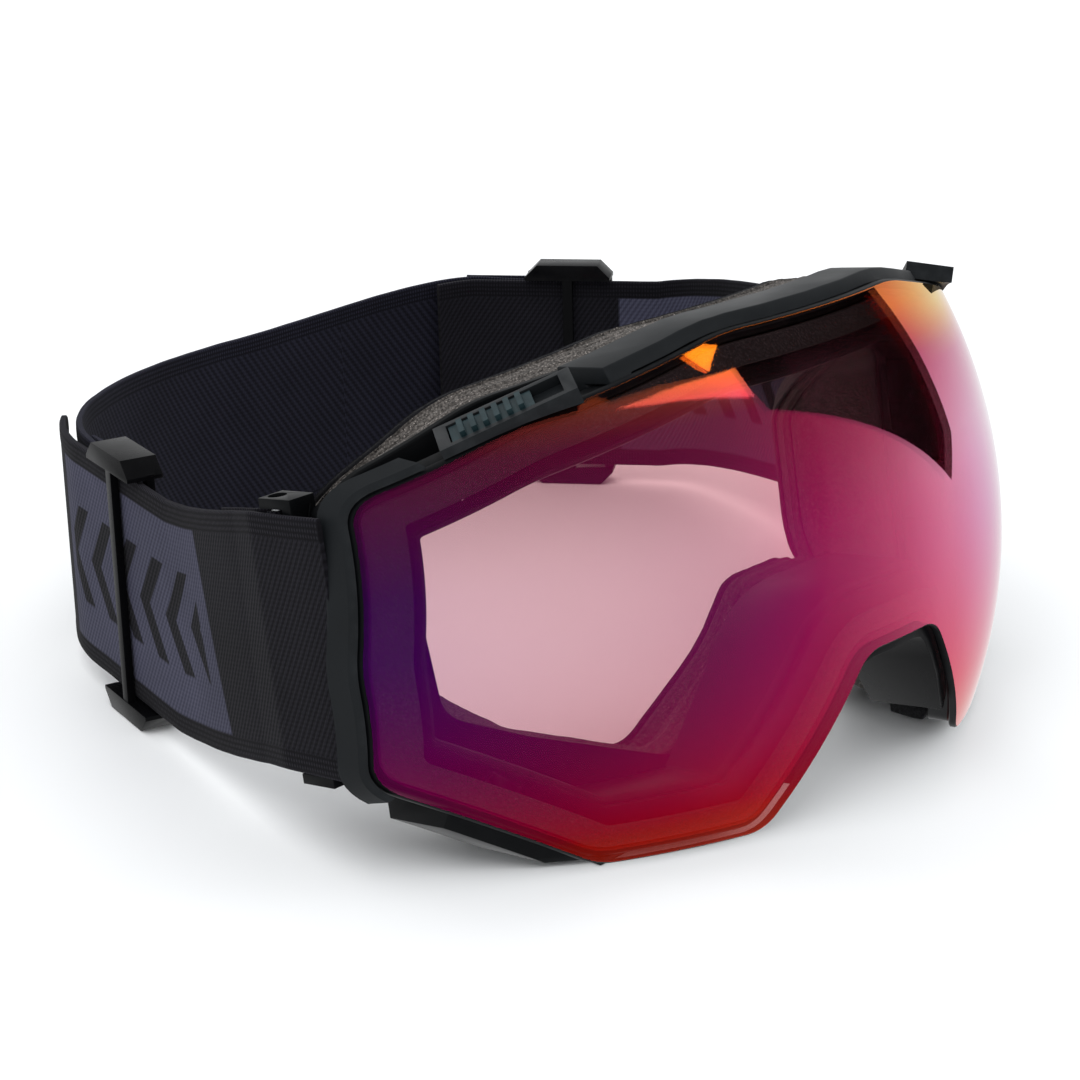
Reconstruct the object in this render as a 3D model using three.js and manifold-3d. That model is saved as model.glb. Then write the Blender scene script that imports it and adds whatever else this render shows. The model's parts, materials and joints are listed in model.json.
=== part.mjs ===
// Ski goggles: a spherical double lens held by magnets on a moulded frame, face foam
// behind it, and an elastic strap with two sliding adjusters. Millimetres, +Z up.
// The lens faces -Y and +X is the wearer's left. The goggles stand on a level surface,
// leaning back a little, and the origin is at the middle of the footprint.
import * as THREE from 'three';
import { mergeVertices } from 'three/addons/utils/BufferGeometryUtils.js';
import Module from 'manifold-3d';

const wasm = await Module();
wasm.setup();

// ---- driving dimensions -------------------------------------------------------------
const GAP = 0.3; // running and assembly clearance between neighbouring pieces

const PITCH = THREE.MathUtils.degToRad(8.5); // backward lean of the standing goggles
const LENS_RADIUS = 101.2; // outside of the outer lens, a sphere about the goggle origin
const LENS_CENTRE_HEIGHT = 29.8; // of that sphere's centre above the standing surface
const OUTER_LENS = 1.5; // thicknesses of the lens assembly, from the front
const GASKET = 1.6;
const INNER_LENS = 0.7;
const CARRIER_FLOOR = 1.6;
const FACET = THREE.MathUtils.degToRad(7.5); // step of the round surfaces

const CARRIER_EDGE = 1; // how far each ring lies inside the lens outline
const CARRIER_WIDTH = 9;
const CARRIER_RIM = 1.3; // the wall round the inner lens and its gasket
const GASKET_WIDTH = 4;
const FRAME_EDGE = 3;
const FRAME_WIDTH = 8.5;

const FLANGE_RADIUS = 103.2; // plan curve of the plate that carries the face foam
const FLANGE_CENTRE_Y = 27;
const FLANGE = 2;
const FACE_RADIUS = 110; // plan curve where the foam meets the face
const FACE_CENTRE_Y = 49.4;
const TEMPLE_DEPTH = 17; // how much further back the foam reaches beside the temples
const NOSE_FOAM = 7.5; // depth of the foam over the nose
const FLEECE = 1;
const COMFORT_FOAM = 3.5;

const COVER_WALL = 2.2; // side covers and brow bar stand this far outside the lens edge
const COVER_REAR_Y = -40;

const MAGNET_RADIUS = 2.5;
const MAGNET_HEIGHT = 2;
const STRIKE_SIDE = 6;
const STRIKE_HEIGHT = 0.7;
const MAGNET_TOP = [70, 32]; // x and z of the magnet pairs, taken on the lens surface
const MAGNET_BOTTOM = [72, -26.2];

const SLIDER = { length: 15, width: 6, height: 2.2, ribs: 6, travel: 5 };
const HOUSING = { length: 25, width: 9, height: 3.2, wall: 1.4 };
const SLIDER_PLACE = new THREE.Vector3(61, -67, 38.4); // middle of the thumb ridge
const SLIDER_ALONG = new THREE.Vector3(-0.7, -0.65, 0.29).normalize();

const PIN = { x: 82.5, y: -34.4, z: 4, radius: 1.4, height: 50 };
const STRAP_HEIGHT = 46.6;
const STRAP = 1.6;
const EYE_WALL = 1.2;

const ADJUSTER = { half: 10.4, barSpan: 9.2, bar: 2.4, barDepth: 1.6, beam: 3.8, travel: 7 };
const BAR_OUTSIDE = 1.9; // middles of the three bars across the strap's thickness
const REAR_BAR_INSIDE = 3.3;
const EYE_LAYER = 0.8;
const STRAIGHT = 22; // straight stretch of strap each side of an adjuster
const ADJUSTER_HEIGHT = STRAP_HEIGHT / 2 + 0.5 + ADJUSTER.beam; // it stands on its lower beam
const REST_STRAP_Z = STRAP_HEIGHT / 2 + 0.4;

// The strap lies as a loop that is pushed over to the wearer's left.
const direction = (x, y, z) => new THREE.Vector3(x, y, z).normalize();
const RIGHT_ADJUSTER = { x: -64, y: 37, along: direction(0.285, 0.958, 0), face: 1 };
const LEFT_ADJUSTER = { x: 103.5, y: 73, along: direction(-0.56, 0.83, 0), face: -1 };
const BACK_OF_LOOP = new THREE.Vector3(26, 106.8, REST_STRAP_Z);

// Outlines seen from the front, as corners [x, z, fillet radius] of the +X half, from the
// middle of the top to the middle of the bottom. The other half mirrors them.
const LENS_OUTLINE = [[24, 46.5, 40], [60, 38.2, 50], [82.4, 28.8, 7], [86.4, 1, 40],
  [85.6, -20, 9], [57, -40.6, 10], [29, -42, 6], [10, -13.6, 7]];
// The face foam's outside and opening at its plate and at the face.
const PLATE = {
  outside: [[24, 46.5, 30], [57, 41, 24], [77, 30, 10], [78, 5, 30],
    [76.5, -17, 10], [56, -35.5, 10], [31, -36.5, 6], [12, -14.4, 7]],
  opening: [[20, 33.5, 20], [47, 28.5, 14], [67, 20.3, 4], [68.3, 6, 30],
    [67.2, -13, 6], [56, -19, 10], [31, -29.5, 6], [9, -3, 6]],
};
const FACE = {
  outside: [[24, 46, 30], [56, 40.5, 24], [73, 28, 10], [73.5, 5, 30],
    [72, -16, 10], [55, -35, 10], [31, -36.5, 6], [12, -14.4, 7]],
  opening: [[20, 33, 20], [46, 29, 14], [56.5, 20, 8], [57.5, 6, 30],
    [57, -10, 8], [52, -20.5, 10], [30.5, -29.9, 6], [8, -3, 6]],
};

// ---- materials ----------------------------------------------------------------------
const material = (color, roughness, metalness = 0) =>
  new THREE.MeshStandardMaterial({ color, roughness, metalness });
const MIRROR_LENS = material(0x8a1f52, 0.08, 0.3);
const CLEAR_LENS = material(0xd9a7b8, 0.1);
const FRAME_PLASTIC = material(0x2a2c2e, 0.5);
const RIM_PLASTIC = material(0x1c1d20, 0.35);
const TEAL_PLASTIC = material(0x2d4144, 0.4);
const GLOSS_PLASTIC = material(0x3a3c3e, 0.25);
const FACE_FOAM = material(0x4a4644, 0.95);
const VENT_FOAM = material(0x26262a, 0.95);
const FLEECE_CLOTH = material(0x1a1a1c, 1);
const STRAP_CLOTH = material(0x1b1c22, 0.9);
const THREAD = material(0x101014, 0.8);
const STEEL = material(0x9a9c9e, 0.35, 1);
const MAGNET = material(0xb4b6b8, 0.25, 1);

// ---- solids -------------------------------------------------------------------------
function solid(geometry) {
  const bare = new THREE.BufferGeometry();
  bare.setAttribute('position', geometry.getAttribute('position').clone());
  if (geometry.index) bare.setIndex(geometry.index.clone());
  const merged = mergeVertices(bare, 1e-4);
  return new wasm.Manifold(new wasm.Mesh({
    numProp: 3,
    vertProperties: new Float32Array(merged.getAttribute('position').array),
    triVerts: new Uint32Array(merged.index.array),
  }));
}

function geometryOf(manifold) {
  const mesh = manifold.getMesh();
  const geometry = new THREE.BufferGeometry();
  geometry.setAttribute('position', new THREE.BufferAttribute(mesh.vertProperties, 3));
  geometry.setIndex(new THREE.BufferAttribute(mesh.triVerts, 1));
  geometry.computeVertexNormals();
  return geometry;
}

// The main body of a trimmed piece, without the crumbs that trimming can leave.
function largest(manifold) {
  return manifold.decompose().sort((a, b) => b.volume() - a.volume())[0];
}

function box(width, depth, height, x = 0, y = 0, z = 0) {
  return solid(new THREE.BoxGeometry(width, depth, height).translate(x, y, z));
}

function sphere(radius) {
  const steps = Math.round(2 * Math.PI / FACET);
  return solid(new THREE.SphereGeometry(radius, steps, steps / 2).rotateX(Math.PI / 2));
}

function uprightCylinder(radius, centreY, height = 140) {
  const steps = Math.round(2 * Math.PI / FACET);
  const geometry = new THREE.CylinderGeometry(radius, radius, height, steps);
  return solid(geometry.rotateX(Math.PI / 2).translate(0, centreY, 0));
}

// ---- outlines -----------------------------------------------------------------------
const mirrorCorners = (half) =>
  [...half, ...half.map(([x, z, r]) => [-x, z, r]).reverse()];

// Moves every side of the outline outwards by `offset` and keeps the corners sharp.
function offsetCorners(corners, offset) {
  const count = corners.length;
  const side = (i) => {
    const [ax, az] = corners[i % count];
    const [bx, bz] = corners[(i + 1) % count];
    const length = Math.hypot(bx - ax, bz - az);
    const normal = [-(bz - az) / length, (bx - ax) / length];
    return { normal, reach: normal[0] * ax + normal[1] * az + offset };
  };
  return corners.map(([, , radius], i) => {
    const a = side(i + count - 1);
    const b = side(i);
    const det = a.normal[0] * b.normal[1] - a.normal[1] * b.normal[0];
    const x = (a.reach * b.normal[1] - b.reach * a.normal[1]) / det;
    const z = (a.normal[0] * b.reach - b.normal[0] * a.reach) / det;
    const turn = det < 0 ? 1 : -1;
    return [x, z, Math.max(radius + turn * offset, 2)];
  });
}

function filletedShape(corners) {
  const shape = new THREE.Shape();
  corners.forEach(([x, z, radius], i) => {
    const here = new THREE.Vector2(x, z);
    const [before, after] = [i + corners.length - 1, i + 1].map((j) => {
      const [nx, nz] = corners[j % corners.length];
      return new THREE.Vector2(nx, nz).sub(here);
    });
    const angle = Math.acos(before.dot(after) / before.length() / after.length());
    const most = 0.45 * Math.min(before.length(), after.length());
    const reach = Math.min(radius / Math.tan(angle / 2), most);
    const start = here.clone().add(before.setLength(reach));
    const end = here.clone().add(after.setLength(reach));
    if (i === 0) shape.moveTo(start.x, start.y);
    else shape.lineTo(start.x, start.y);
    shape.quadraticCurveTo(x, z, end.x, end.y);
  });
  shape.closePath();
  return shape;
}

// A bar with the outline's section that runs from the goggle origin out past the lens.
function prism(halfOutline, offset = 0) {
  const shape = filletedShape(offsetCorners(mirrorCorners(halfOutline), offset));
  const geometry = new THREE.ExtrudeGeometry(shape,
    { depth: 130, bevelEnabled: false, curveSegments: 2 });
  return solid(geometry.rotateX(Math.PI / 2).translate(0, 5, 0));
}

const SIDE_STEPS = 5;
const FILLET_STEPS = 3;

// Points round an outline. Outlines with as many corners have matching points.
function outlinePoints(halfOutline) {
  const steps = (curve) => (curve.isLineCurve ? SIDE_STEPS : FILLET_STEPS);
  return filletedShape(mirrorCorners(halfOutline)).curves
    .flatMap((curve) => curve.getPoints(steps(curve)).slice(0, -1));
}

const outline = (offset) => prism(LENS_OUTLINE, offset);
const band = (outside, inside) => outline(outside).subtract(outline(inside));

// ---- surfaces that pieces share -----------------------------------------------------
const OUTER_LENS_BACK = LENS_RADIUS - OUTER_LENS;
const CARRIER_FRONT = OUTER_LENS_BACK - GAP;
const GASKET_BACK = CARRIER_FRONT - GASKET;
const INNER_LENS_FRONT = GASKET_BACK - GAP;
const INNER_LENS_BACK = INNER_LENS_FRONT - INNER_LENS;
const FLOOR_FRONT = INNER_LENS_BACK - GAP;
const CARRIER_BACK = FLOOR_FRONT - CARRIER_FLOOR;
const FRAME_FRONT = CARRIER_BACK - GAP;

// Everything the lens sweeps as it is lifted off forwards, with clearance.
const lensPath = outline(GAP).subtract(sphere(CARRIER_FRONT))
  .add(outline(-CARRIER_EDGE + GAP).subtract(sphere(FRAME_FRONT)));
const behindFlange = uprightCylinder(FLANGE_RADIUS + GAP, FLANGE_CENTRE_Y);

// ---- scene --------------------------------------------------------------------------
const goggles = new THREE.Group();
const body = new THREE.Group(); // goggle frame: origin at the centre of the lens sphere
body.rotation.x = -PITCH;
body.position.z = LENS_CENTRE_HEIGHT;
body.updateMatrix();
goggles.add(body);

function add(parent, name, shape, look) {
  const mesh = new THREE.Mesh(geometryOf(shape), look);
  mesh.name = name;
  parent.add(mesh);
  return mesh;
}

const SIDES = [['left', 1], ['right', -1]];
const mirrored = (manifold, side) => (side > 0 ? manifold : manifold.mirror([1, 0, 0]));

// ---- lens assembly ------------------------------------------------------------------
const rivetSpots = SIDES.flatMap(([name, side]) => [
  [`top_${name}`, side * MAGNET_TOP[0], MAGNET_TOP[1]],
  [`bottom_${name}`, side * MAGNET_BOTTOM[0], MAGNET_BOTTOM[1]],
]);

// Turns a piece built along +Z so that it stands on the lens sphere's normal.
function onSphere(geometry, x, z, radius) {
  const y = -Math.sqrt(LENS_RADIUS ** 2 - x ** 2 - z ** 2);
  const normal = new THREE.Vector3(x, y, z).normalize();
  const turn = new THREE.Quaternion().setFromUnitVectors(new THREE.Vector3(0, 0, 1), normal);
  const place = normal.clone().multiplyScalar(radius).toArray();
  return solid(geometry.applyQuaternion(turn).translate(...place));
}

const strikeRadius = CARRIER_BACK + STRIKE_HEIGHT / 2 + GAP;
const magnetRadius = FRAME_FRONT - MAGNET_HEIGHT / 2 - GAP;

function strike(x, z, clearance) {
  const side = STRIKE_SIDE + 2 * clearance;
  const reach = clearance ? 1 : 0; // the pocket is open at the carrier's back
  const geometry = new THREE.BoxGeometry(side, side, STRIKE_HEIGHT + 2 * clearance + reach);
  return onSphere(geometry, x, z, strikeRadius - reach / 2);
}

function magnet(x, z, clearance) {
  const reach = clearance ? 2 : 0; // the pocket is open at the frame's front
  const height = MAGNET_HEIGHT + 2 * clearance + reach;
  const radius = MAGNET_RADIUS + clearance;
  const geometry = new THREE.CylinderGeometry(radius, radius, height, 16);
  return onSphere(geometry.rotateX(Math.PI / 2), x, z, magnetRadius + reach / 2);
}

function addLens() {
  const rimInside = -CARRIER_EDGE - CARRIER_RIM;
  const innerEdge = rimInside - GAP;
  add(body, 'outer_lens', outline(0).intersect(
    sphere(LENS_RADIUS).subtract(sphere(OUTER_LENS_BACK))), MIRROR_LENS);
  add(body, 'inner_lens', outline(innerEdge).intersect(
    sphere(INNER_LENS_FRONT).subtract(sphere(INNER_LENS_BACK))), CLEAR_LENS);
  add(body, 'lens_gasket', band(innerEdge, innerEdge - GASKET_WIDTH).intersect(
    sphere(CARRIER_FRONT).subtract(sphere(GASKET_BACK))), VENT_FOAM);
  const floor = band(-CARRIER_EDGE, -CARRIER_EDGE - CARRIER_WIDTH).intersect(
    sphere(FLOOR_FRONT));
  let carrier = band(-CARRIER_EDGE, rimInside).intersect(sphere(CARRIER_FRONT)).add(floor)
    .subtract(sphere(CARRIER_BACK));
  for (const [name, x, z] of rivetSpots) {
    carrier = carrier.subtract(strike(x, z, GAP));
    add(body, `strike_plate_${name}`, strike(x, z, 0), STEEL);
  }
  add(body, 'lens_carrier', carrier, RIM_PLASTIC);
}

// ---- frame --------------------------------------------------------------------------
// The strap's pin and web sit in a pocket in each temple.
const strapPocket = (side) => box(20, 40, 66, side * (PIN.x + 6.1), PIN.y + 13.8, PIN.z);

function addFrame() {
  let frame = band(-FRAME_EDGE, -FRAME_EDGE - FRAME_WIDTH).subtract(behindFlange)
    .subtract(lensPath);
  for (const [, side] of SIDES) frame = frame.subtract(strapPocket(side));
  for (const [name, x, z] of rivetSpots) {
    frame = frame.subtract(magnet(x, z, GAP));
    add(body, `magnet_${name}`, magnet(x, z, 0), MAGNET);
  }
  add(body, 'frame', frame, FRAME_PLASTIC);
}

function addBrow() {
  const halfWidth = 44;
  const post = 4;
  const room = (width) => box(width, 80, 60, 0, -90, 50);
  const posts = room(2 * halfWidth).subtract(room(2 * (halfWidth - post)));
  const shell = band(COVER_WALL, -0.2).intersect(room(2 * halfWidth));
  const feet = band(COVER_WALL, -FRAME_EDGE + GAP).intersect(posts);
  const bar = shell.add(feet).intersect(sphere(CARRIER_FRONT)).subtract(lensPath)
    .subtract(behindFlange);
  add(body, 'brow_bar', bar, RIM_PLASTIC);
  const strip = band(-0.2 - GAP, -FRAME_EDGE + GAP).intersect(sphere(FRAME_FRONT))
    .intersect(room(2 * (halfWidth - post - GAP))).subtract(behindFlange);
  add(body, 'brow_vent_foam', strip, VENT_FOAM);
}

function addSideCovers() {
  const reach = box(40, 80, 70, 90, -84, 4);
  const skin = band(COVER_WALL, 0.4).intersect(reach);
  const web = band(COVER_WALL, -FRAME_EDGE + GAP).intersect(reach)
    .intersect(box(200, 80, 90, 0, -81.8, 0));
  const cover = largest(skin.add(web).intersect(sphere(LENS_RADIUS)).subtract(lensPath)
    .intersect(box(200, 90, 90, 0, COVER_REAR_Y - 45, 0))
    .intersect(box(60, 90, 48, 96, -60, 3)));
  for (const [name, side] of SIDES) {
    add(body, `side_cover_${name}`, mirrored(cover, side), FRAME_PLASTIC);
  }
}

function addNoseBridge() {
  const bridge = band(COVER_WALL, -FRAME_EDGE + GAP)
    .intersect(box(46, 60, 26, 0, -90, -22)).intersect(sphere(CARRIER_FRONT))
    .subtract(lensPath).subtract(behindFlange);
  add(body, 'nose_bridge', bridge, GLOSS_PLASTIC);
}

// Everything that is clear of the standing surface, in the goggle frame.
const FLOOR_CLEARANCE = 0.8;
const clearOfFloor = box(300, 300, 100, 0, 0, 50 + FLOOR_CLEARANCE)
  .transform(body.matrix.clone().invert().elements);

// A rail along each lower corner of the lens.
const RAIL = { inside: 57, outside: 76, chamfer: 3 };

function addRails() {
  const { inside, outside, chamfer } = RAIL;
  const across = new THREE.Shape([[inside + chamfer, -60], [outside, -60], [outside, 0],
    [inside, 0], [inside, -40]].map(([x, z]) => new THREE.Vector2(x, z)));
  const room = solid(new THREE.ExtrudeGeometry(across,
    { depth: 80, bevelEnabled: false }).rotateX(Math.PI / 2).translate(0, -40, 0));
  const rail = band(COVER_WALL, -FRAME_EDGE + GAP).intersect(room)
    .intersect(sphere(CARRIER_FRONT)).subtract(lensPath).subtract(behindFlange)
    .intersect(clearOfFloor);
  for (const [name, side] of SIDES) {
    add(body, `lower_rail_${name}`, mirrored(largest(rail), side), RIM_PLASTIC);
  }
}

// Two low feet under the frame, with flat undersides on the standing surface.
const FOOT = { inside: 44.5, outside: 56, front: -78, rear: -62, height: 8 };

function addFeet() {
  const keepOut = lensPath.add(outline(-FRAME_EDGE + GAP)).transform(body.matrix.elements);
  const { inside, outside, front, rear, height } = FOOT;
  const foot = box(outside - inside, rear - front, height,
    (inside + outside) / 2, (front + rear) / 2, height / 2);
  const trimmed = largest(foot.subtract(keepOut));
  for (const [name, side] of SIDES) {
    add(goggles, `lower_foot_${name}`, mirrored(trimmed, side), RIM_PLASTIC);
  }
}

function addLowerVents() {
  const vent = band(-0.2 - GAP, -FRAME_EDGE + GAP).intersect(sphere(FRAME_FRONT))
    .intersect(box(13, 60, 20, 36.5, -90, -40)).subtract(behindFlange)
    .intersect(clearOfFloor);
  for (const [name, side] of SIDES) {
    add(body, `lower_vent_foam_${name}`, mirrored(vent, side), VENT_FOAM);
  }
}

// ---- face foam ----------------------------------------------------------------------
const drum = (radius, centre) => (x) => centre - Math.sqrt(radius ** 2 - x ** 2);
const plateFront = drum(FLANGE_RADIUS, FLANGE_CENTRE_Y);
const plateBack = (x) => plateFront(x) + FLANGE;

// The side that meets the face: a drum that reaches back beside the temples and stays
// forward over the nose.
const TEMPLE = { inside: 38, outside: 58, z: -3, flat: 12, end: 34 };
const NOSE = { flat: 14, end: 32, low: 4, high: 24 };
function faceDepth(x, z) {
  const { smoothstep, lerp } = THREE.MathUtils;
  const across = Math.abs(x);
  const offTemple = smoothstep(Math.abs(z - TEMPLE.z), TEMPLE.flat, TEMPLE.end);
  const temple = smoothstep(across, TEMPLE.inside, TEMPLE.outside) * (1 - offTemple);
  const offNose = smoothstep(across, NOSE.flat, NOSE.end);
  const nose = (1 - offNose) * (1 - smoothstep(z, NOSE.low, NOSE.high));
  const y = drum(FACE_RADIUS, FACE_CENTRE_Y)(x) + TEMPLE_DEPTH * temple;
  return lerp(y, plateBack(x) + NOSE_FOAM, nose);
}

// A ring between a front and a rear surface, each with its own outside and opening.
function foamLayer(front, frontDepth, rear, rearDepth) {
  const loops = [[front.outside, frontDepth], [rear.outside, rearDepth],
    [rear.opening, rearDepth], [front.opening, frontDepth]]
    .map(([half, depth]) => outlinePoints(half).map(({ x, y: z }) => [x, depth(x, z), z]));
  const count = loops[0].length;
  const faces = [];
  loops.forEach((_, i) => {
    const here = i * count;
    const closing = i === loops.length - 1; // its quads split like the parallel face's
    const there = closing ? 0 : here + count;
    for (let k = 0; k < count; k++) {
      const next = (k + 1) % count;
      const [a, b, c, d] = [here + k, here + next, there + next, there + k];
      faces.push(...(closing ? [a, b, d, b, c, d] : [a, c, d, a, b, c]));
    }
  });
  const geometry = new THREE.BufferGeometry();
  geometry.setAttribute('position', new THREE.Float32BufferAttribute(loops.flat(2), 3));
  geometry.setIndex(faces);
  return solid(geometry);
}

function addFaceFoam() {
  const inFront = (distance) => (x, z) => faceDepth(x, z) - distance;
  const comfortBack = FLEECE + GAP;
  const comfortFront = comfortBack + COMFORT_FOAM;
  add(body, 'foam_carrier', foamLayer(PLATE, plateFront, PLATE, plateBack), RIM_PLASTIC);
  add(body, 'face_foam', foamLayer(PLATE, (x) => plateBack(x) + GAP,
    FACE, inFront(comfortFront + GAP)), FACE_FOAM);
  add(body, 'comfort_foam', foamLayer(FACE, inFront(comfortFront), FACE,
    inFront(comfortBack)), FACE_FOAM);
  add(body, 'face_fleece', foamLayer(FACE, inFront(FLEECE), FACE, faceDepth), FLEECE_CLOTH);
}

// ---- lens release sliders -----------------------------------------------------------
// Pieces are built with X along the slide, Y across it and Z away from the frame.
function onEdge(manifold) {
  const along = SLIDER_ALONG;
  const away = new THREE.Vector3(0.388, 0, 0.922);
  away.addScaledVector(along, -away.dot(along)).normalize();
  const across = new THREE.Vector3().crossVectors(away, along);
  const place = new THREE.Matrix4().makeBasis(along, across, away).setPosition(SLIDER_PLACE);
  return manifold.transform(place.elements);
}

function addReleases() {
  const { length, width, height, ribs, travel } = SLIDER;
  const deck = HOUSING.height - HOUSING.wall;
  let slider = box(length, width, height - 1, 0, 0, (height - 1) / 2);
  for (let i = 0; i < ribs; i++) {
    const x = (i - (ribs - 1) / 2) * length / (ribs + 1);
    slider = slider.add(box(1, width - 1, 1.2, x, 0, height - 0.6));
  }
  const pocketLength = length + travel + 2 * GAP;
  const housing = box(HOUSING.length, HOUSING.width, HOUSING.height,
    travel / 2, 0, -HOUSING.height / 2 + deck - GAP)
    .subtract(box(pocketLength, width + 2 * GAP, 10, travel / 2, 0, 5 - GAP));
  const frameRoom = outline(-FRAME_EDGE + GAP).subtract(behindFlange);
  const fitted = onEdge(housing).subtract(lensPath).subtract(frameRoom);
  for (const [name, side] of SIDES) {
    add(body, `release_housing_${name}`, mirrored(fitted, side), FRAME_PLASTIC);
    add(body, `release_slider_${name}`, mirrored(onEdge(slider), side), TEAL_PLASTIC);
  }
}

// ---- strap --------------------------------------------------------------------------
const eyeOutside = PIN.radius + GAP + EYE_WALL;

function addAnchors() {
  const lugHeight = 1.8;
  const lugMiddle = STRAP_HEIGHT / 2 + 0.5 + lugHeight / 2;
  const pinSolid = (radius, height) => solid(new THREE.CylinderGeometry(radius, radius,
    height, 16).rotateX(Math.PI / 2).translate(PIN.x, PIN.y, PIN.z));
  let anchor = box(5.6, 2.2, 2 * lugMiddle + lugHeight, PIN.x - 0.2, PIN.y - 4.8, PIN.z);
  for (const end of [-1, 1]) {
    anchor = anchor.add(box(5.6, 7.4, lugHeight, PIN.x - 0.2, PIN.y - 1.6,
      PIN.z + end * lugMiddle));
  }
  anchor = largest(anchor.subtract(pinSolid(PIN.radius + GAP, 80)).subtract(lensPath));
  const pin = pinSolid(PIN.radius, PIN.height);
  for (const [name, side] of SIDES) {
    add(body, `strap_anchor_${name}`, mirrored(anchor, side), RIM_PLASTIC);
    add(body, `anchor_pin_${name}`, mirrored(pin, side), STEEL);
  }
}

// A flat band standing on edge along a line of points. `lean` gives each point's
// backward lean, so that the band can start square to the leaning frame.
function ribbon(points, height, thickness, lean = () => 0) {
  const positions = [];
  const faces = [];
  points.forEach((point, i) => {
    const before = points[Math.max(i - 1, 0)];
    const after = points[Math.min(i + 1, points.length - 1)];
    const tangent = after.clone().sub(before).setZ(0).normalize();
    const out = new THREE.Vector3(tangent.y, -tangent.x, 0).multiplyScalar(thickness / 2);
    const angle = lean(i);
    const up = new THREE.Vector3(0, Math.sin(angle), Math.cos(angle));
    up.multiplyScalar(height / 2);
    for (const [across, rise] of [[-1, -1], [1, -1], [1, 1], [-1, 1]]) {
      const corner = point.clone().addScaledVector(out, across).addScaledVector(up, rise);
      positions.push(...corner.toArray());
    }
    if (i === 0) return;
    const now = 4 * i;
    for (let k = 0; k < 4; k++) {
      const next = (k + 1) % 4;
      faces.push(now - 4 + k, now + next, now - 4 + next);
      faces.push(now - 4 + k, now + k, now + next);
    }
  });
  const last = 4 * (points.length - 1);
  faces.push(0, 1, 2, 0, 2, 3, last, last + 2, last + 1, last, last + 3, last + 2);
  const geometry = new THREE.BufferGeometry();
  geometry.setAttribute('position', new THREE.Float32BufferAttribute(positions, 3));
  geometry.setIndex(faces);
  return solid(geometry);
}

// A point in an adjuster's own frame: `s` along the strap to the rear, `n` outwards.
function atAdjuster(adjuster, s, n, z = ADJUSTER_HEIGHT) {
  const { x, y, along } = adjuster;
  const outward = new THREE.Vector3(-along.y, along.x, 0);
  if (x > 0) outward.negate();
  return new THREE.Vector3(x, y, z).addScaledVector(along, s).addScaledVector(outward, n);
}

function alongAdjuster(adjuster, manifold) {
  const { along } = adjuster;
  const outward = atAdjuster(adjuster, 0, 1).sub(atAdjuster(adjuster, 0, 0)).normalize();
  const place = new THREE.Matrix4().makeBasis(along, outward, new THREE.Vector3(0, 0, 1));
  place.setPosition(atAdjuster(adjuster, 0, 0));
  const flipped = place.determinant() < 0 ? manifold.mirror([0, 0, 1]) : manifold;
  if (place.determinant() < 0) place.scale(new THREE.Vector3(1, 1, -1));
  return flipped.transform(place.elements);
}

const bezier = (a, b, c, d, steps) => new THREE.CubicBezierCurve3(a, b, c, d).getPoints(steps);

function rearPath() {
  const inside = (adjuster) => -adjuster.face * REAR_BAR_INSIDE;
  const start = (s) => atAdjuster(RIGHT_ADJUSTER, s, inside(RIGHT_ADJUSTER));
  const end = (s) => atAdjuster(LEFT_ADJUSTER, s, inside(LEFT_ADJUSTER));
  const back = (x) => BACK_OF_LOOP.clone().setX(BACK_OF_LOOP.x + x);
  return [
    ...bezier(start(STRAIGHT), start(STRAIGHT + 26), back(-36), back(0), 14),
    ...bezier(back(0), back(26), end(STRAIGHT + 16), end(STRAIGHT), 12).slice(1),
  ];
}

// The folded end of the rear strap: a flat eye round the adjuster's rear bar, long
// enough for the adjuster's travel.
function rearEye(adjuster) {
  const { barSpan, bar, barDepth, travel } = ADJUSTER;
  const from = barSpan - travel - bar / 2 - 0.5;
  const to = barSpan + travel + bar / 2 + 0.5;
  const depth = barDepth + 2 * GAP;
  const middle = (from + to) / 2;
  const n = -adjuster.face * REAR_BAR_INSIDE;
  const outer = box(to - from + 2 * EYE_LAYER, depth + 2 * EYE_LAYER, STRAP_HEIGHT,
    middle, n, 0);
  const inner = box(to - from, depth, STRAP_HEIGHT + 10, middle, n, 0);
  const joint = box(STRAIGHT - to + 1, STRAP, STRAP_HEIGHT, (STRAIGHT + to + 1) / 2, n, 0);
  return alongAdjuster(adjuster, outer.subtract(inner).add(joint));
}

function addRearStrap() {
  const strap = ribbon(rearPath(), STRAP_HEIGHT, STRAP)
    .add(rearEye(RIGHT_ADJUSTER)).add(rearEye(LEFT_ADJUSTER));
  add(goggles, 'rear_strap', strap, STRAP_CLOTH);
}

function addBartack(name, adjuster) {
  const n = -adjuster.face * (REAR_BAR_INSIDE + STRAP / 2 + GAP + 0.3);
  const tack = box(2.4, 0.6, STRAP_HEIGHT - 4, STRAIGHT - 1.7, n, 0);
  add(goggles, `strap_bartack_${name}`, alongAdjuster(adjuster, tack), THREAD);
}

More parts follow.
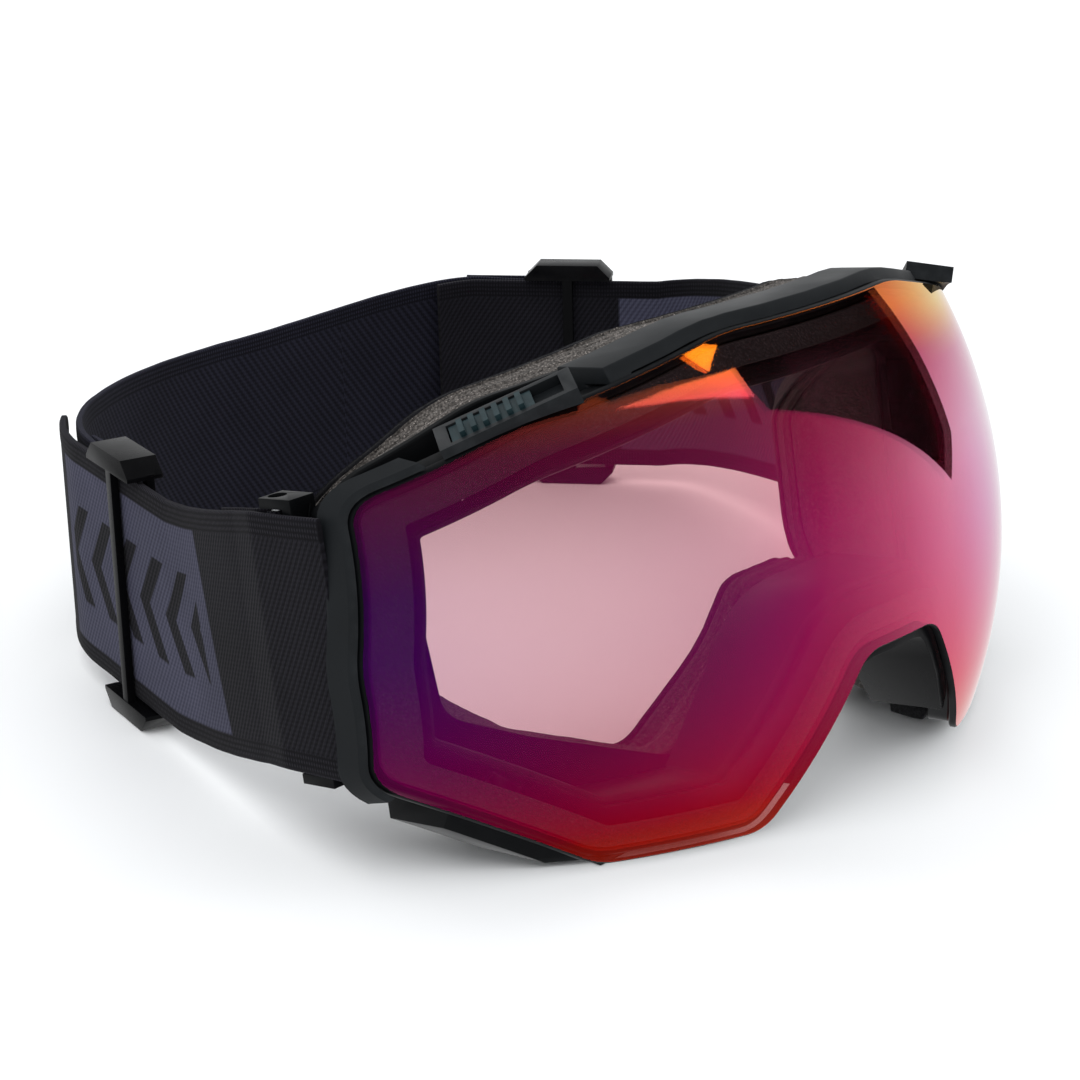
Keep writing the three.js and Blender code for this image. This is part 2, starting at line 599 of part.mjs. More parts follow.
// Front strap: from the eye on the frame's pin, through the adjuster, and its tail
// follows the rear strap for a short way.
function addFrontStrap(name, side, adjuster, handles, tail) {
  const pin = new THREE.Vector3(side * PIN.x, PIN.y, PIN.z).applyMatrix4(body.matrix);
  const start = pin.clone();
  start.x += side * (eyeOutside - STRAP / 2);
  const straight = (s) => atAdjuster(adjuster, s, 0);
  const [first, second] = handles;
  const path = bezier(start, new THREE.Vector3(first[0], first[1], pin.z - 2),
    new THREE.Vector3(second[0], second[1], ADJUSTER_HEIGHT + 2), straight(-STRAIGHT), 14);
  const bendSteps = path.length - 1;
  path.push(straight(STRAIGHT), ...tail);
  const lean = (i) => PITCH * Math.max(0, 1 - i / bendSteps);
  const eye = solid(new THREE.CylinderGeometry(eyeOutside, eyeOutside, STRAP_HEIGHT, 16)
    .rotateX(Math.PI / 2 - PITCH).translate(...pin.toArray()));
  const bore = solid(new THREE.CylinderGeometry(PIN.radius + GAP, PIN.radius + GAP,
    STRAP_HEIGHT + 20, 16).rotateX(Math.PI / 2 - PITCH).translate(...pin.toArray()));
  const strap = ribbon(path, STRAP_HEIGHT, STRAP, lean).add(eye).subtract(bore);
  add(goggles, `front_strap_${name}`, strap, STRAP_CLOTH);
}

// Points beside the rear strap, `offset` further out, for a tail that lies against it.
function besideRearStrap(points, offset) {
  return points.slice(0, -1).map((point, i) => {
    const tangent = points[i + 1].clone().sub(point).setZ(0).normalize();
    const shifted = new THREE.Vector3(-tangent.y, tangent.x, 0).multiplyScalar(offset);
    return point.clone().add(shifted);
  });
}

// Three upright bars between two beams. The strap runs straight between them.
function addAdjuster(name, adjuster) {
  const { half, barSpan, bar, barDepth, beam } = ADJUSTER;
  const { face } = adjuster;
  const inner = STRAP_HEIGHT / 2 + 0.5;
  const inside = REAR_BAR_INSIDE + barDepth / 2 + 0.3;
  const outside = BAR_OUTSIDE + barDepth / 2 + 0.2;
  const depth = inside + outside;
  const middle = face * (outside - inside) / 2;
  const beamShape = new THREE.Shape([[-half, inner], [half, inner], [half, inner + 0.8],
    [half - 3, inner + beam], [3 - half, inner + beam], [-half, inner + 0.8]]
    .map(([s, z]) => new THREE.Vector2(s, z)));
  const beamSolid = solid(new THREE.ExtrudeGeometry(beamShape,
    { depth, bevelEnabled: false }).rotateX(Math.PI / 2).translate(0, middle + depth / 2, 0));
  let solidAdjuster = beamSolid.add(beamSolid.mirror([0, 0, 1]));
  const bars = [[-barSpan, -BAR_OUTSIDE], [0, BAR_OUTSIDE], [barSpan, -REAR_BAR_INSIDE]];
  for (const [s, n] of bars) {
    solidAdjuster = solidAdjuster.add(box(bar, barDepth, 2 * inner + 2, s, face * n, 0));
  }
  add(goggles, `strap_adjuster_${name}`, alongAdjuster(adjuster, solidAdjuster),
    GLOSS_PLASTIC);
}

addLens();
addFrame();
addBrow();
addSideCovers();
addNoseBridge();
addRails();
addFeet();
addLowerVents();
addFaceFoam();
addReleases();
addAnchors();
addRearStrap();
const rear = rearPath();
addFrontStrap('right', -1, RIGHT_ADJUSTER, [[-84.2, -21], [-75.7, -2.3]],
  besideRearStrap(rear, REAR_BAR_INSIDE).slice(1, 5));
addFrontStrap('left', 1, LEFT_ADJUSTER, [[104, 8], [123.5, 43.4]],
  besideRearStrap([...rear].reverse(), REAR_BAR_INSIDE).slice(1, 4));
for (const [name, adjuster] of [['right', RIGHT_ADJUSTER], ['left', LEFT_ADJUSTER]]) {
  addAdjuster(name, adjuster);
  addBartack(name, adjuster);
}

// The origin is the middle of the footprint, on the standing surface.
const footprint = new THREE.Box3().setFromObject(goggles, true).getCenter(new THREE.Vector3());
goggles.position.set(-footprint.x, -footprint.y, 0);

export default goggles;
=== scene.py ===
"""Ski goggles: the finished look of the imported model, in metres."""

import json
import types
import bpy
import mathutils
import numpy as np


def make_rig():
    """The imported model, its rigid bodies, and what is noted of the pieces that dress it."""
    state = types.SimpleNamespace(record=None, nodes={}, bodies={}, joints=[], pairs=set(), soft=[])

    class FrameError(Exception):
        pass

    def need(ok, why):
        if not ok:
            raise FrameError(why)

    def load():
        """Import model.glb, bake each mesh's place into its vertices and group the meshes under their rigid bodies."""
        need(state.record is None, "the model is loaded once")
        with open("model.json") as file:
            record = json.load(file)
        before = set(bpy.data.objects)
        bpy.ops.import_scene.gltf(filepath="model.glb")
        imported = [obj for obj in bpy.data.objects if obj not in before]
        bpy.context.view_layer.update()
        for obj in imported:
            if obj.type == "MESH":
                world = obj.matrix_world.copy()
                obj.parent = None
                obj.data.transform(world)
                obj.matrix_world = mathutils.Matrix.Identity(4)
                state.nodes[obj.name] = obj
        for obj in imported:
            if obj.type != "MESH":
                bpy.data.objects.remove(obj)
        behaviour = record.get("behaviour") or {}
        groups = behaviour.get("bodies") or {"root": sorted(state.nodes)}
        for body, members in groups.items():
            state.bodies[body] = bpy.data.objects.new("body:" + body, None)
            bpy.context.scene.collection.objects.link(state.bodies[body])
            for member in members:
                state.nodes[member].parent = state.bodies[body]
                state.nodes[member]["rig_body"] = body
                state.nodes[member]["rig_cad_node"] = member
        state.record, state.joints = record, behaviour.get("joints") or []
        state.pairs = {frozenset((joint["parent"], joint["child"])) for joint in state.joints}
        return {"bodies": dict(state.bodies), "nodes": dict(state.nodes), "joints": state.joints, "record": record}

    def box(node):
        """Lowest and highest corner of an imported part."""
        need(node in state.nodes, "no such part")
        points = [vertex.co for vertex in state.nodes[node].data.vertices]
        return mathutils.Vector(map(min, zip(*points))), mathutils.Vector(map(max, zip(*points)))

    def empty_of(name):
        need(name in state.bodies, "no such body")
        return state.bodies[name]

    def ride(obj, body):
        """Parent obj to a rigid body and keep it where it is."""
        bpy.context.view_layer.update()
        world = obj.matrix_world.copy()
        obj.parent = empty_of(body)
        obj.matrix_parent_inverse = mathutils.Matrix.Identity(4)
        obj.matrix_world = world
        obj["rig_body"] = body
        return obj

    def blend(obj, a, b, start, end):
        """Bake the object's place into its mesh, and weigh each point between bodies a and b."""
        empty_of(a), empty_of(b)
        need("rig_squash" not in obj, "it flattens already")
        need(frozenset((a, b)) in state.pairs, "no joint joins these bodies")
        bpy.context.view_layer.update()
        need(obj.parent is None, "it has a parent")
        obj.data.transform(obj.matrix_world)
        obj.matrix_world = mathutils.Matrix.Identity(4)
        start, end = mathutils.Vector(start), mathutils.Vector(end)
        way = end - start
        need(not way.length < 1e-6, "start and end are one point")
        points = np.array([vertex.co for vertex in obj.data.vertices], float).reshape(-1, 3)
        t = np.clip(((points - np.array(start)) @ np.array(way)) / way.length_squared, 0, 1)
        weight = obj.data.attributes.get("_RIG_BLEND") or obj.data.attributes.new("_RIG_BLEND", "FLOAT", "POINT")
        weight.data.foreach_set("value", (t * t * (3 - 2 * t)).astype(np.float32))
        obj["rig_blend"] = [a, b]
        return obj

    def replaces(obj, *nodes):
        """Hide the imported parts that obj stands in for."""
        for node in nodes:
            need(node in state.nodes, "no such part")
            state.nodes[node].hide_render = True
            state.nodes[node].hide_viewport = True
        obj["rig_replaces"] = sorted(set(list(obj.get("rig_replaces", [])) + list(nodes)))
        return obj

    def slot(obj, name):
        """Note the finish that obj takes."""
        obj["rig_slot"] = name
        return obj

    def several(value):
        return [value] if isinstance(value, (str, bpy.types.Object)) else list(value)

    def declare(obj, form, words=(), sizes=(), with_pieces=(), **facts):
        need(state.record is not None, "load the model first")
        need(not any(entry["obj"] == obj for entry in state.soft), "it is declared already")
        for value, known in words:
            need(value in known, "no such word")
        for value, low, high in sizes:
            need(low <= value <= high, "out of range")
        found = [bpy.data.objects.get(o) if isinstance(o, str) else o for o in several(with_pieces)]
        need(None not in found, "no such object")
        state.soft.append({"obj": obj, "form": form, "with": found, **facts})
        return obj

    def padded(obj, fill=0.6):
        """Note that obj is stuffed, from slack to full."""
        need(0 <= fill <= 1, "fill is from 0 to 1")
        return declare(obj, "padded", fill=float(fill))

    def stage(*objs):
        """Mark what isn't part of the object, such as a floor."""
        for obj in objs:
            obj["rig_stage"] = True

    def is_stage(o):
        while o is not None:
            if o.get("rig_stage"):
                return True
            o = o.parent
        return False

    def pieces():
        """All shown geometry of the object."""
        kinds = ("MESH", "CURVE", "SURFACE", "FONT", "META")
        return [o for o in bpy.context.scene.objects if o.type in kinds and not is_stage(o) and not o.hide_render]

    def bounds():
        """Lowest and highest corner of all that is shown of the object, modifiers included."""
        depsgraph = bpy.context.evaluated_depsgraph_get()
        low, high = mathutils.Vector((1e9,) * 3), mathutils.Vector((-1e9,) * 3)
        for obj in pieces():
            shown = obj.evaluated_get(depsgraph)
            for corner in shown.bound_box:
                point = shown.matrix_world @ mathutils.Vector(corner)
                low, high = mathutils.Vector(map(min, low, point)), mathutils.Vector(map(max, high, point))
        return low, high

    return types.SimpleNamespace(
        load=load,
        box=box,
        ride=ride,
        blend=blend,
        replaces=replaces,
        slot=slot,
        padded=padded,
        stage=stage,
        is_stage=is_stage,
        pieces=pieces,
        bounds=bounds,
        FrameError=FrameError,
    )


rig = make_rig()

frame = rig.load()

import json
import math

import bmesh
import bpy
import numpy as np
from mathutils import Matrix, Vector, noise
from mathutils.geometry import delaunay_2d_cdt, interpolate_bezier

CAD_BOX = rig.bounds()
MM = 0.001

# ---- places and sizes that the frame gives
feet = [Vector(m["pos_m"]) for m in frame["record"]["mounts"]]
# The foot of the upright line through the middle of the lens sphere.
ORIGIN = (feet[0] + feet[1]) / 2 + Vector((0, 70 * MM, 0))
JOINTS = {j["name"]: j for j in frame["joints"]}
SLOTS = {p["node"]: p["material_slot"] for p in frame["record"]["subparts"]}
LENS_OFF = Vector(JOINTS["lens_removal"]["axis"])
PITCH = math.asin(LENS_OFF.z)  # backward lean of the standing goggles
LENS_HEIGHT = 29.8 * MM
GOGGLE = (Matrix.Translation(ORIGIN + Vector((0, 0, LENS_HEIGHT)))
          @ Matrix.Rotation(-PITCH, 4, "X"))

# Lengths below are millimetres in the goggles' own leaning frame: x to the wearer's left,
# y back from the lens sphere's centre, z up.
LENS_RADIUS = 101.2
OUTER_BACK = 99.7
CARRIER_FRONT = 99.4
GASKET_BACK = 97.8
INNER_FRONT = 97.5
INNER_BACK = 96.8
CARRIER_BACK = 94.9
FRAME_FRONT = 94.6
FLANGE = (103.5, 27.0)  # plan radius and centre of the frame's back
PLATE = (103.2, 27.0)  # of the front of the plate that carries the foam
PLATE_THICKNESS = 2.0
FACE = (110.0, 49.4)  # of the side of the foam that meets the face

LENS_OUTLINE = [(24, 46.5, 40), (60, 38.2, 50), (82.4, 28.8, 7), (86.4, 1, 40),
                (85.6, -20, 9), (57, -40.6, 10), (29, -42, 6), (10, -13.6, 7)]
PLATE_OUTSIDE = [(24, 46.5, 30), (57, 41, 24), (77, 30, 10), (78, 5, 30),
                 (76.5, -17, 10), (56, -35.5, 10), (31, -36.5, 6), (12, -14.4, 7)]
PLATE_OPENING = [(20, 33.5, 20), (47, 28.5, 14), (67, 20.3, 4), (68.3, 6, 30),
                 (67.2, -13, 6), (56, -19, 10), (31, -29.5, 6), (9, -3, 6)]
FACE_OUTSIDE = [(24, 46, 30), (56, 40.5, 24), (73, 28, 10), (73.5, 5, 30),
                (72, -16, 10), (55, -35, 10), (31, -36.5, 6), (12, -14.4, 7)]
FACE_OPENING = [(20, 33, 20), (46, 29, 14), (56.5, 20, 8), (57.5, 6, 30),
                (57, -10, 8), (52, -20.5, 10), (30.5, -29.9, 6), (8, -3, 6)]
PIN_PLACE = (82.5, -34.4, 4.0)  # middle of the left anchor pin

SIDES = (("left", 1), ("right", -1))


# ---- camera and studio
CAMERA_ANGLES = (46.67, 18.91, -1.49)  # azimuth, elevation and roll, in degrees
CAMERA_DISTANCE = 630.7 * MM
CAMERA_TARGET = Vector((63.4, 47.0, 0.5)) * MM  # from ORIGIN
FOCAL_LENGTH = 90.3

BACKDROP = (0.955, 0.965, 0.975)
FLOOR_COLOR = (0.93, 0.94, 0.95)
FLOOR_HALF = 6
FLOOR_DROP = 0.2 * MM  # keeps the floor clear of the feet
LIGHT_TARGET = Vector((0, 0, 0.04))

# Upright cards in front of the goggles: the dark side of the studio, and two lamps before
# it. Distances forward of ORIGIN and corners (x, z) are in metres.
DARK_FORWARD = 1.1
DARK_SIDE = [(-0.9, 1.6), (1.6, 1.4), (6, 2.1), (6, -0.2), (3.8, -0.35), (0.5, 0.65),
             (0.43, 0.92), (-0.25, 1.0)]
LAMPS_FORWARD = 0.9
LAMP_SMALL = [(0.16, 0.93), (0.37, 0.88), (0.25, 0.78)]
LAMP_WIDE = [(-0.2, 0.78), (0.37, 0.75), (0.37, 0.6)]


def placed(name, data):
    obj = bpy.data.objects.new(name, data)
    bpy.context.collection.objects.link(obj)
    return obj


def add_camera():
    azimuth, elevation, roll = (math.radians(angle) for angle in CAMERA_ANGLES)
    back = Vector((-math.sin(azimuth) * math.cos(elevation),
                   -math.cos(azimuth) * math.cos(elevation), math.sin(elevation)))
    right = Vector((0, 0, 1)).cross(back).normalized()
    up = back.cross(right)
    right, up = (right * math.cos(roll) + up * math.sin(roll),
                 up * math.cos(roll) - right * math.sin(roll))
    data = bpy.data.cameras.new("camera")
    data.lens = FOCAL_LENGTH
    camera = placed("camera", data)
    place = ORIGIN + CAMERA_TARGET + back * CAMERA_DISTANCE
    turn = Matrix((right, up, back)).transposed().to_4x4()
    camera.matrix_world = Matrix.Translation(place) @ turn
    bpy.context.scene.camera = camera


def area_light(name, place, size, power):
    """A soft light that doesn't show in reflections."""
    data = bpy.data.lights.new(name, "AREA")
    data.shape = "RECTANGLE"
    data.size, data.size_y = size
    data.energy = power
    light = placed(name, data)
    light.location = place
    direction = LIGHT_TARGET - light.location
    light.rotation_euler = direction.to_track_quat("-Z", "Y").to_euler()
    light.visible_glossy = False


def sheet(name, corners):
    mesh = bpy.data.meshes.new(name)
    mesh.from_pydata(corners, [], [tuple(range(len(corners)))])
    return placed(name, mesh)


def card(name, forward, corners, strength):
    """A studio card that only reflections see: bright, or black at strength 0."""
    obj = sheet(name, [tuple(ORIGIN + Vector((x, -forward, z))) for x, z in corners])
    look = bpy.data.materials.new(name)
    look.use_nodes = True
    tree = look.node_tree
    tree.nodes.clear()
    glow = tree.nodes.new("ShaderNodeEmission")
    glow.inputs["Strength"].default_value = strength
    out = tree.nodes.new("ShaderNodeOutputMaterial")
    tree.links.new(glow.outputs[0], out.inputs[0])
    obj.data.materials.append(look)
    obj.visible_camera = obj.visible_diffuse = obj.visible_shadow = False
    obj.visible_transmission = False
    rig.stage(obj)


def add_studio():
    scene = bpy.context.scene
    scene.view_settings.view_transform = "Standard"
    world = bpy.data.worlds.new("studio")
    world.use_nodes = True
    background = world.node_tree.nodes["Background"]
    background.inputs["Color"].default_value = (*BACKDROP, 1)
    scene.world = world
    s = FLOOR_HALF
    floor = sheet("floor", [(-s, -s, 0), (s, -s, 0), (s, s, 0), (-s, s, 0)])
    floor.location.z = -FLOOR_DROP
    look = Look("floor_white", roughness=0.6, base_color=(*FLOOR_COLOR, 1))
    floor.data.materials.append(look.material)
    floor.visible_glossy = False
    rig.stage(floor)
    card("dark_side", DARK_FORWARD, DARK_SIDE, 0.0)
    card("lamp_small", LAMPS_FORWARD, LAMP_SMALL, 9.0)
    card("lamp_wide", LAMPS_FORWARD, LAMP_WIDE, 6.0)
    area_light("key", (-0.7, -0.3, 1.5), (1.3, 1.3), 9)
    area_light("fill", (1.5, -1.1, 0.9), (1.0, 1.2), 6)
    area_light("back", (0.4, 1.6, 1.2), (1.6, 0.8), 6)


# ---- materials
class Look:
    """A material under construction: one Principled shader and the nodes that feed it.
    Positions are in metres and noise scales are per metre."""

    def __init__(self, name, **values):
        self.material = bpy.data.materials.new(name)
        self.material.use_nodes = True
        self.tree = self.material.node_tree
        self.shader = self.tree.nodes["Principled BSDF"]
        names = {"Specular": "Specular IOR Level", "Coat Ior": "Coat IOR"}
        for key, value in values.items():
            socket = key.replace("_", " ").title()
            self.shader.inputs[names.get(socket, socket)].default_value = value
        places = self.node("TexCoord").outputs
        self.position, self.uv = places["Object"], places["UV"]

    def node(self, kind, **inputs):
        """A new node. Its inputs are given by name, or by number as in0, in1 and so on."""
        node = self.tree.nodes.new("ShaderNode" + kind)
        for key, value in inputs.items():
            socket = node.inputs[int(key[2:])] if key.startswith("in") else node.inputs[key]
            if isinstance(value, bpy.types.NodeSocket):
                self.tree.links.new(value, socket)
            elif isinstance(value, tuple) and socket.type == "RGBA":
                socket.default_value = (*value, 1)
            elif hasattr(socket, "default_value"):
                socket.default_value = value
        return node

    def link(self, output, socket):
        self.tree.links.new(output, self.shader.inputs[socket])

    def math(self, operation, a, b=0.0, c=0.0, clamp=False):
        node = self.node("Math", in0=a, in1=b, in2=c)
        node.operation = operation
        node.use_clamp = clamp
        return node.outputs[0]

    def axes(self, vector):
        return self.node("SeparateXYZ", Vector=vector).outputs

    def scaled(self, vector, scale):
        return self.node("Mapping", Vector=vector, Scale=scale).outputs[0]

    def noise(self, scale, detail=3.0, roughness=0.5, vector=None, distortion=0.0):
        node = self.node("TexNoise", Vector=vector or self.position, Scale=scale,
                         Detail=detail, Roughness=roughness, Distortion=distortion)
        return node.outputs["Fac"]

    def bands(self, coordinate, pitch):
        """Soft bands from 0 to 1, one for each pitch."""
        wave = self.math("SINE", self.product(coordinate, 2 * math.pi / pitch))
        return self.math("MULTIPLY_ADD", wave, 0.5, 0.5)

    def ramp(self, factor, stops):
        """Colours, or plain values, that change along the factor."""
        node = self.node("ValToRGB", Fac=factor)
        ramp = node.color_ramp
        while len(ramp.elements) < len(stops):
            ramp.elements.new(0.5)
        for element, (place, color) in zip(ramp.elements, stops):
            element.position = place
            element.color = (*color, 1) if isinstance(color, tuple) else (*(color,) * 3, 1)
        return node.outputs["Color"]

    def levels(self, factor, low, high, to_low=0.0, to_high=1.0):
        return self.node("MapRange", in0=factor, in1=low, in2=high, in3=to_low,
                         in4=to_high).outputs[0]

    def product(self, a, b):
        return self.math("MULTIPLY", a, b)

    def see_through(self, clear, share):
        """Lets light through in the clear colour, apart from the share that the shader
        takes."""
        through = self.node("BsdfTransparent", Color=clear)
        both = self.node("MixShader", Fac=share, in1=through.outputs[0],
                         in2=self.shader.outputs[0])
        out = self.tree.nodes["Material Output"]
        self.tree.links.new(both.outputs[0], out.inputs["Surface"])

    def mix(self, factor, a, b, blend="MIX"):
        node = self.node("MixRGB", Fac=factor, Color1=a, Color2=b)
        node.blend_type = blend
        return node.outputs[0]

    def bump(self, height, strength, distance, **below):
        return self.node("Bump", Height=height, Strength=strength, Distance=distance * MM,
                         **below).outputs[0]


def shade(color, share):
    return tuple(c * share for c in color)


def moulded_plastic(name, color, roughness, grain, specular):
    """Moulded plastic: fine grain, uneven gloss and paler worn edges."""
    look = Look(name, roughness=roughness, specular=specular)
    cloud = look.noise(60, 4)
    edge = look.levels(look.node("NewGeometry").outputs["Pointiness"], 0.515, 0.58)
    scuffed = look.product(edge, look.levels(look.noise(340, 4), 0.42, 0.66))
    pale = tuple(min(1, c * 2.0 + 0.012) for c in color)
    tone = look.mix(look.levels(cloud, 0.35, 0.65), shade(color, 0.82), color)
    look.link(look.mix(look.product(scuffed, 0.25), tone, pale), "Base Color")
    look.link(look.levels(cloud, 0.3, 0.7, roughness - 0.06, roughness + 0.07), "Roughness")
    look.link(look.bump(look.noise(2600, 2), grain, 0.05), "Normal")
    return look.material


FOAM_CELL = 0.55 * MM


def open_foam(name, pale, dark):
    """Open-cell foam: small pits between pale struts, with a soft nap. The pits are darker, which paints shade inside
    the cells.
    """
    look = Look(name, roughness=0.95, specular=0.1, sheen_weight=0.06, sheen_roughness=0.6)
    cells = look.node("TexVoronoi", Vector=look.position, Scale=1 / FOAM_CELL)
    depth = look.levels(cells.outputs["Distance"], 0.12, 0.62)
    speckle = look.levels(look.noise(2300, 3, 0.7), 0.38, 0.68)
    pits = look.product(depth, look.levels(speckle, 0, 1, 0.45, 1.0))
    cloud = look.levels(look.noise(70, 3), 0.3, 0.7, 0.82, 1.12)
    between = tuple((a + b) / 2.2 for a, b in zip(pale, dark))
    # Darker towards the bottom of each pit: painted shade.
    tone = look.ramp(pits, ((0.0, pale), (0.55, between), (1.0, dark)))
    strut = look.levels(look.noise(3100, 2, 0.6), 0.62, 0.74)
    tone = look.mix(strut, tone, tuple(min(1, c * 3.4) for c in pale))
    look.link(look.mix(1.0, tone, cloud, "MULTIPLY"), "Base Color")
    lift = look.bump(look.math("SUBTRACT", 1.0, depth), 0.5, 0.2)
    look.link(look.bump(speckle, 0.35, 0.1, Normal=lift), "Normal")
    return look.material


def brushed_fleece(name, color):
    """Short pile: tufts over slow changes in tone."""
    look = Look(name, roughness=1.0, sheen_weight=0.12, sheen_roughness=0.5, specular=0.05)
    nap = look.noise(1500, 4, 0.7, distortion=1.5)
    pile = look.noise(160, 3)
    tone = look.mix(look.levels(nap, 0.35, 0.7), shade(color, 0.5), shade(color, 1.9))
    look.link(look.mix(look.levels(pile, 0.3, 0.7, 0, 0.35), tone, color), "Base Color")
    look.link(look.bump(nap, 0.9, 0.25), "Normal")
    return look.material


def metal(name, color, roughness):
    """Metal brushed along z."""
    look = Look(name, metallic=1.0, roughness=roughness)
    streak = look.noise(900, 3, vector=look.scaled(look.position, (1, 1, 0.05)))
    look.link(look.mix(look.levels(streak, 0.3, 0.7), shade(color, 0.85), color),
              "Base Color")
    look.link(look.levels(streak, 0.2, 0.8, roughness - 0.08, roughness + 0.12),
              "Roughness")
    look.link(look.bump(streak, 0.2, 0.02), "Normal")
    return look.material


def stitched_thread(name, color):
    """Twisted thread."""
    look = Look(name, roughness=0.8, specular=0.15)
    waves = look.node("TexWave", Vector=look.position, Scale=420.0, Distortion=1.0)
    wave = waves.outputs["Fac"]
    look.link(look.mix(wave, shade(color, 0.5), color), "Base Color")
    look.link(look.bump(wave, 0.9, 0.2), "Normal")
    return look.material


HEM_HEIGHT = 1.90  # where the hems start, in centimetres from the middle
# The panel's slate, darker in the weave's hollows and paler on its raised threads: painted shade and light.
PANEL_DARK = (0.030, 0.030, 0.048)
PANEL_PALE = (0.066, 0.066, 0.102)
PANEL = (3.2, 0.263, 10.6)  # its front edge, that edge's slant and its rear edge


def woven_elastic(name, dark, pale, panel=None, twill=0.11):
    """Woven elastic webbing on length and height UVs, in centimetres: a fine twill, rolled hems and, where a panel is
    given, a slate jacquard with chevrons. The raised threads are paler and the hollows darker: painted light and
    shade."""
    look = Look(name, roughness=0.9, sheen_weight=0.02, sheen_roughness=0.5, specular=0.08)
    along, up = look.axes(look.uv)[:2]
    slope = look.math("ADD", look.product(along, 0.82), look.product(up, 0.57))
    fuzz = look.product(look.noise(2200, 2), 0.035)
    ribs = look.bands(look.math("ADD", slope, fuzz), twill)
    picks = look.bands(along, 0.05)
    cords = look.bands(up, 0.085)
    weave = look.math("ADD", look.product(ribs, 0.62),
                      look.product(look.product(picks, cords), 0.38))
    height = look.math("ABSOLUTE", up)
    hem = look.levels(height, HEM_HEIGHT, HEM_HEIGHT + 0.04)
    hem_rows = look.bands(look.math("ADD", height, fuzz), 0.10)
    hem_weave = look.product(hem_rows, look.bands(along, 0.07))
    relief = look.mix(hem, weave, hem_weave)
    # Pale on raised threads, dark in the hollows: painted light and shade over the strap's own colour.
    tone = look.mix(relief, dark, pale)
    if panel:
        slate = look.mix(relief, PANEL_DARK, PANEL_PALE)
        plain = tone
        tone = look.mix(panel_mask(look, along, up, height, panel), tone, slate)
        tone = look.mix(chevrons(look, along, up, height, panel), tone, plain)
    cloud = look.levels(look.noise(45, 3), 0.3, 0.7, 0.85, 1.15)
    # 1.5 times paler on the strap's rounded top and bottom edges.
    paler_edges = look.levels(height, 2.22, 2.33, 1.0, 1.5)
    tone = look.mix(1.0, tone, cloud, "MULTIPLY")
    look.link(look.mix(1.0, tone, paler_edges, "MULTIPLY"), "Base Color")
    look.link(look.levels(relief, 0, 1, 0.95, 0.78), "Roughness")
    lift = look.bump(relief, 0.55, 0.16)
    look.link(look.bump(look.noise(3600, 2), 0.3, 0.06, Normal=lift), "Normal")
    return look.material


def behind_edge(look, along, up, place, slant):
    """1 behind an edge that slants across the strap through a place on its middle."""
    edge = look.math("ADD", place, look.product(up, slant))
    return look.levels(look.math("SUBTRACT", along, edge), -0.03, 0.03)


def panel_mask(look, along, up, height, panel):
    """1 between the panel's slanting front edge and its rear edge, and inside the hems."""
    front, slant, rear = panel
    ends = look.product(behind_edge(look, along, up, front, slant),
                        look.levels(along, rear + 0.03, rear - 0.03))
    return look.product(ends, look.levels(height, HEM_HEIGHT + 0.03, HEM_HEIGHT - 0.01))


CHEVRON_PITCH = 1.25
CHEVRON_SLOPE = 0.75
CHEVRON_HALF_HEIGHT = 1.0


def chevrons(look, along, up, height, panel):
    """A row of plain chevrons along the middle of the panel."""
    front, slant, rear = panel
    point = look.math("ADD", along, look.product(height, CHEVRON_SLOPE))
    bar = look.levels(look.bands(point, CHEVRON_PITCH), 0.62, 0.68)
    room = look.levels(height, CHEVRON_HALF_HEIGHT + 0.04, CHEVRON_HALF_HEIGHT)
    ends = look.product(behind_edge(look, along, up, front + 0.55, slant),
                        look.levels(along, rear - 0.3, rear - 0.36))
    return look.product(look.product(bar, room), ends)


# ---- mesh helpers
MERGE = 2e-6  # metres


def write_mesh(build, mesh, smooth):
    """Writes a built mesh, smooth where its faces meet at less than an angle in degrees."""
    bmesh.ops.recalc_face_normals(build, faces=build.faces)
    for edge in build.edges:
        if len(edge.link_faces) == 2:
            edge.smooth = edge.calc_face_angle(0) < math.radians(smooth)
    for face in build.faces:
        face.smooth = True
    build.to_mesh(mesh)
    build.free()


def new_piece(name, verts, faces, look, slot, body="frame", local=True, smooth=40):
    """A finished mesh object. A local one is in millimetres in the goggles' own frame, and
    one without a body doesn't ride yet."""
    mesh = bpy.data.meshes.new(name)
    scale = MM if local else 1.0
    mesh.from_pydata([tuple(Vector(v) * scale) for v in verts], [], faces)
    mesh.materials.append(LOOKS[look])
    obj = placed(name, mesh)
    build = bmesh.new()
    build.from_mesh(mesh)
    bmesh.ops.remove_doubles(build, verts=build.verts, dist=MERGE / 2)
    write_mesh(build, mesh, smooth)
    if local:
        obj.matrix_world = GOGGLE
    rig.slot(obj, slot)
    if body:
        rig.ride(obj, body)
    return obj


def mirrored(half):
    """The whole outline from its left half, whose corners are (x, z, radius)."""
    return [*half, *[(-x, z, r) for x, z, r in reversed(half)]]


def offset_corners(corners, offset):
    """Moves every side of the outline outwards and keeps the corners sharp."""
    count = len(corners)

    def side(i):
        (ax, az, _), (bx, bz, _) = corners[i % count], corners[(i + 1) % count]
        length = math.hypot(bx - ax, bz - az)
        normal = (-(bz - az) / length, (bx - ax) / length)
        return normal, normal[0] * ax + normal[1] * az + offset

    moved = []
    for i, (_, _, radius) in enumerate(corners):
        (a, reach_a), (b, reach_b) = side(i + count - 1), side(i)
        det = a[0] * b[1] - a[1] * b[0]
        x = (reach_a * b[1] - reach_b * a[1]) / det
        z = (a[0] * reach_b - b[0] * reach_a) / det
        turn = 1 if det < 0 else -1
        moved.append((x, z, max(radius + turn * offset, 1.2)))
    return moved


FILLET_STEPS = 8
SIDE_STEP = 2.5


def side_counts(half):
    """How many steps each side of an outline takes, so that its offsets match it."""
    corners = mirrored(half)
    nexts = corners[1:] + corners[:1]
    return [max(2, round(math.hypot(b[0] - a[0], b[1] - a[1]) / SIDE_STEP))
            for a, b in zip(corners, nexts)]


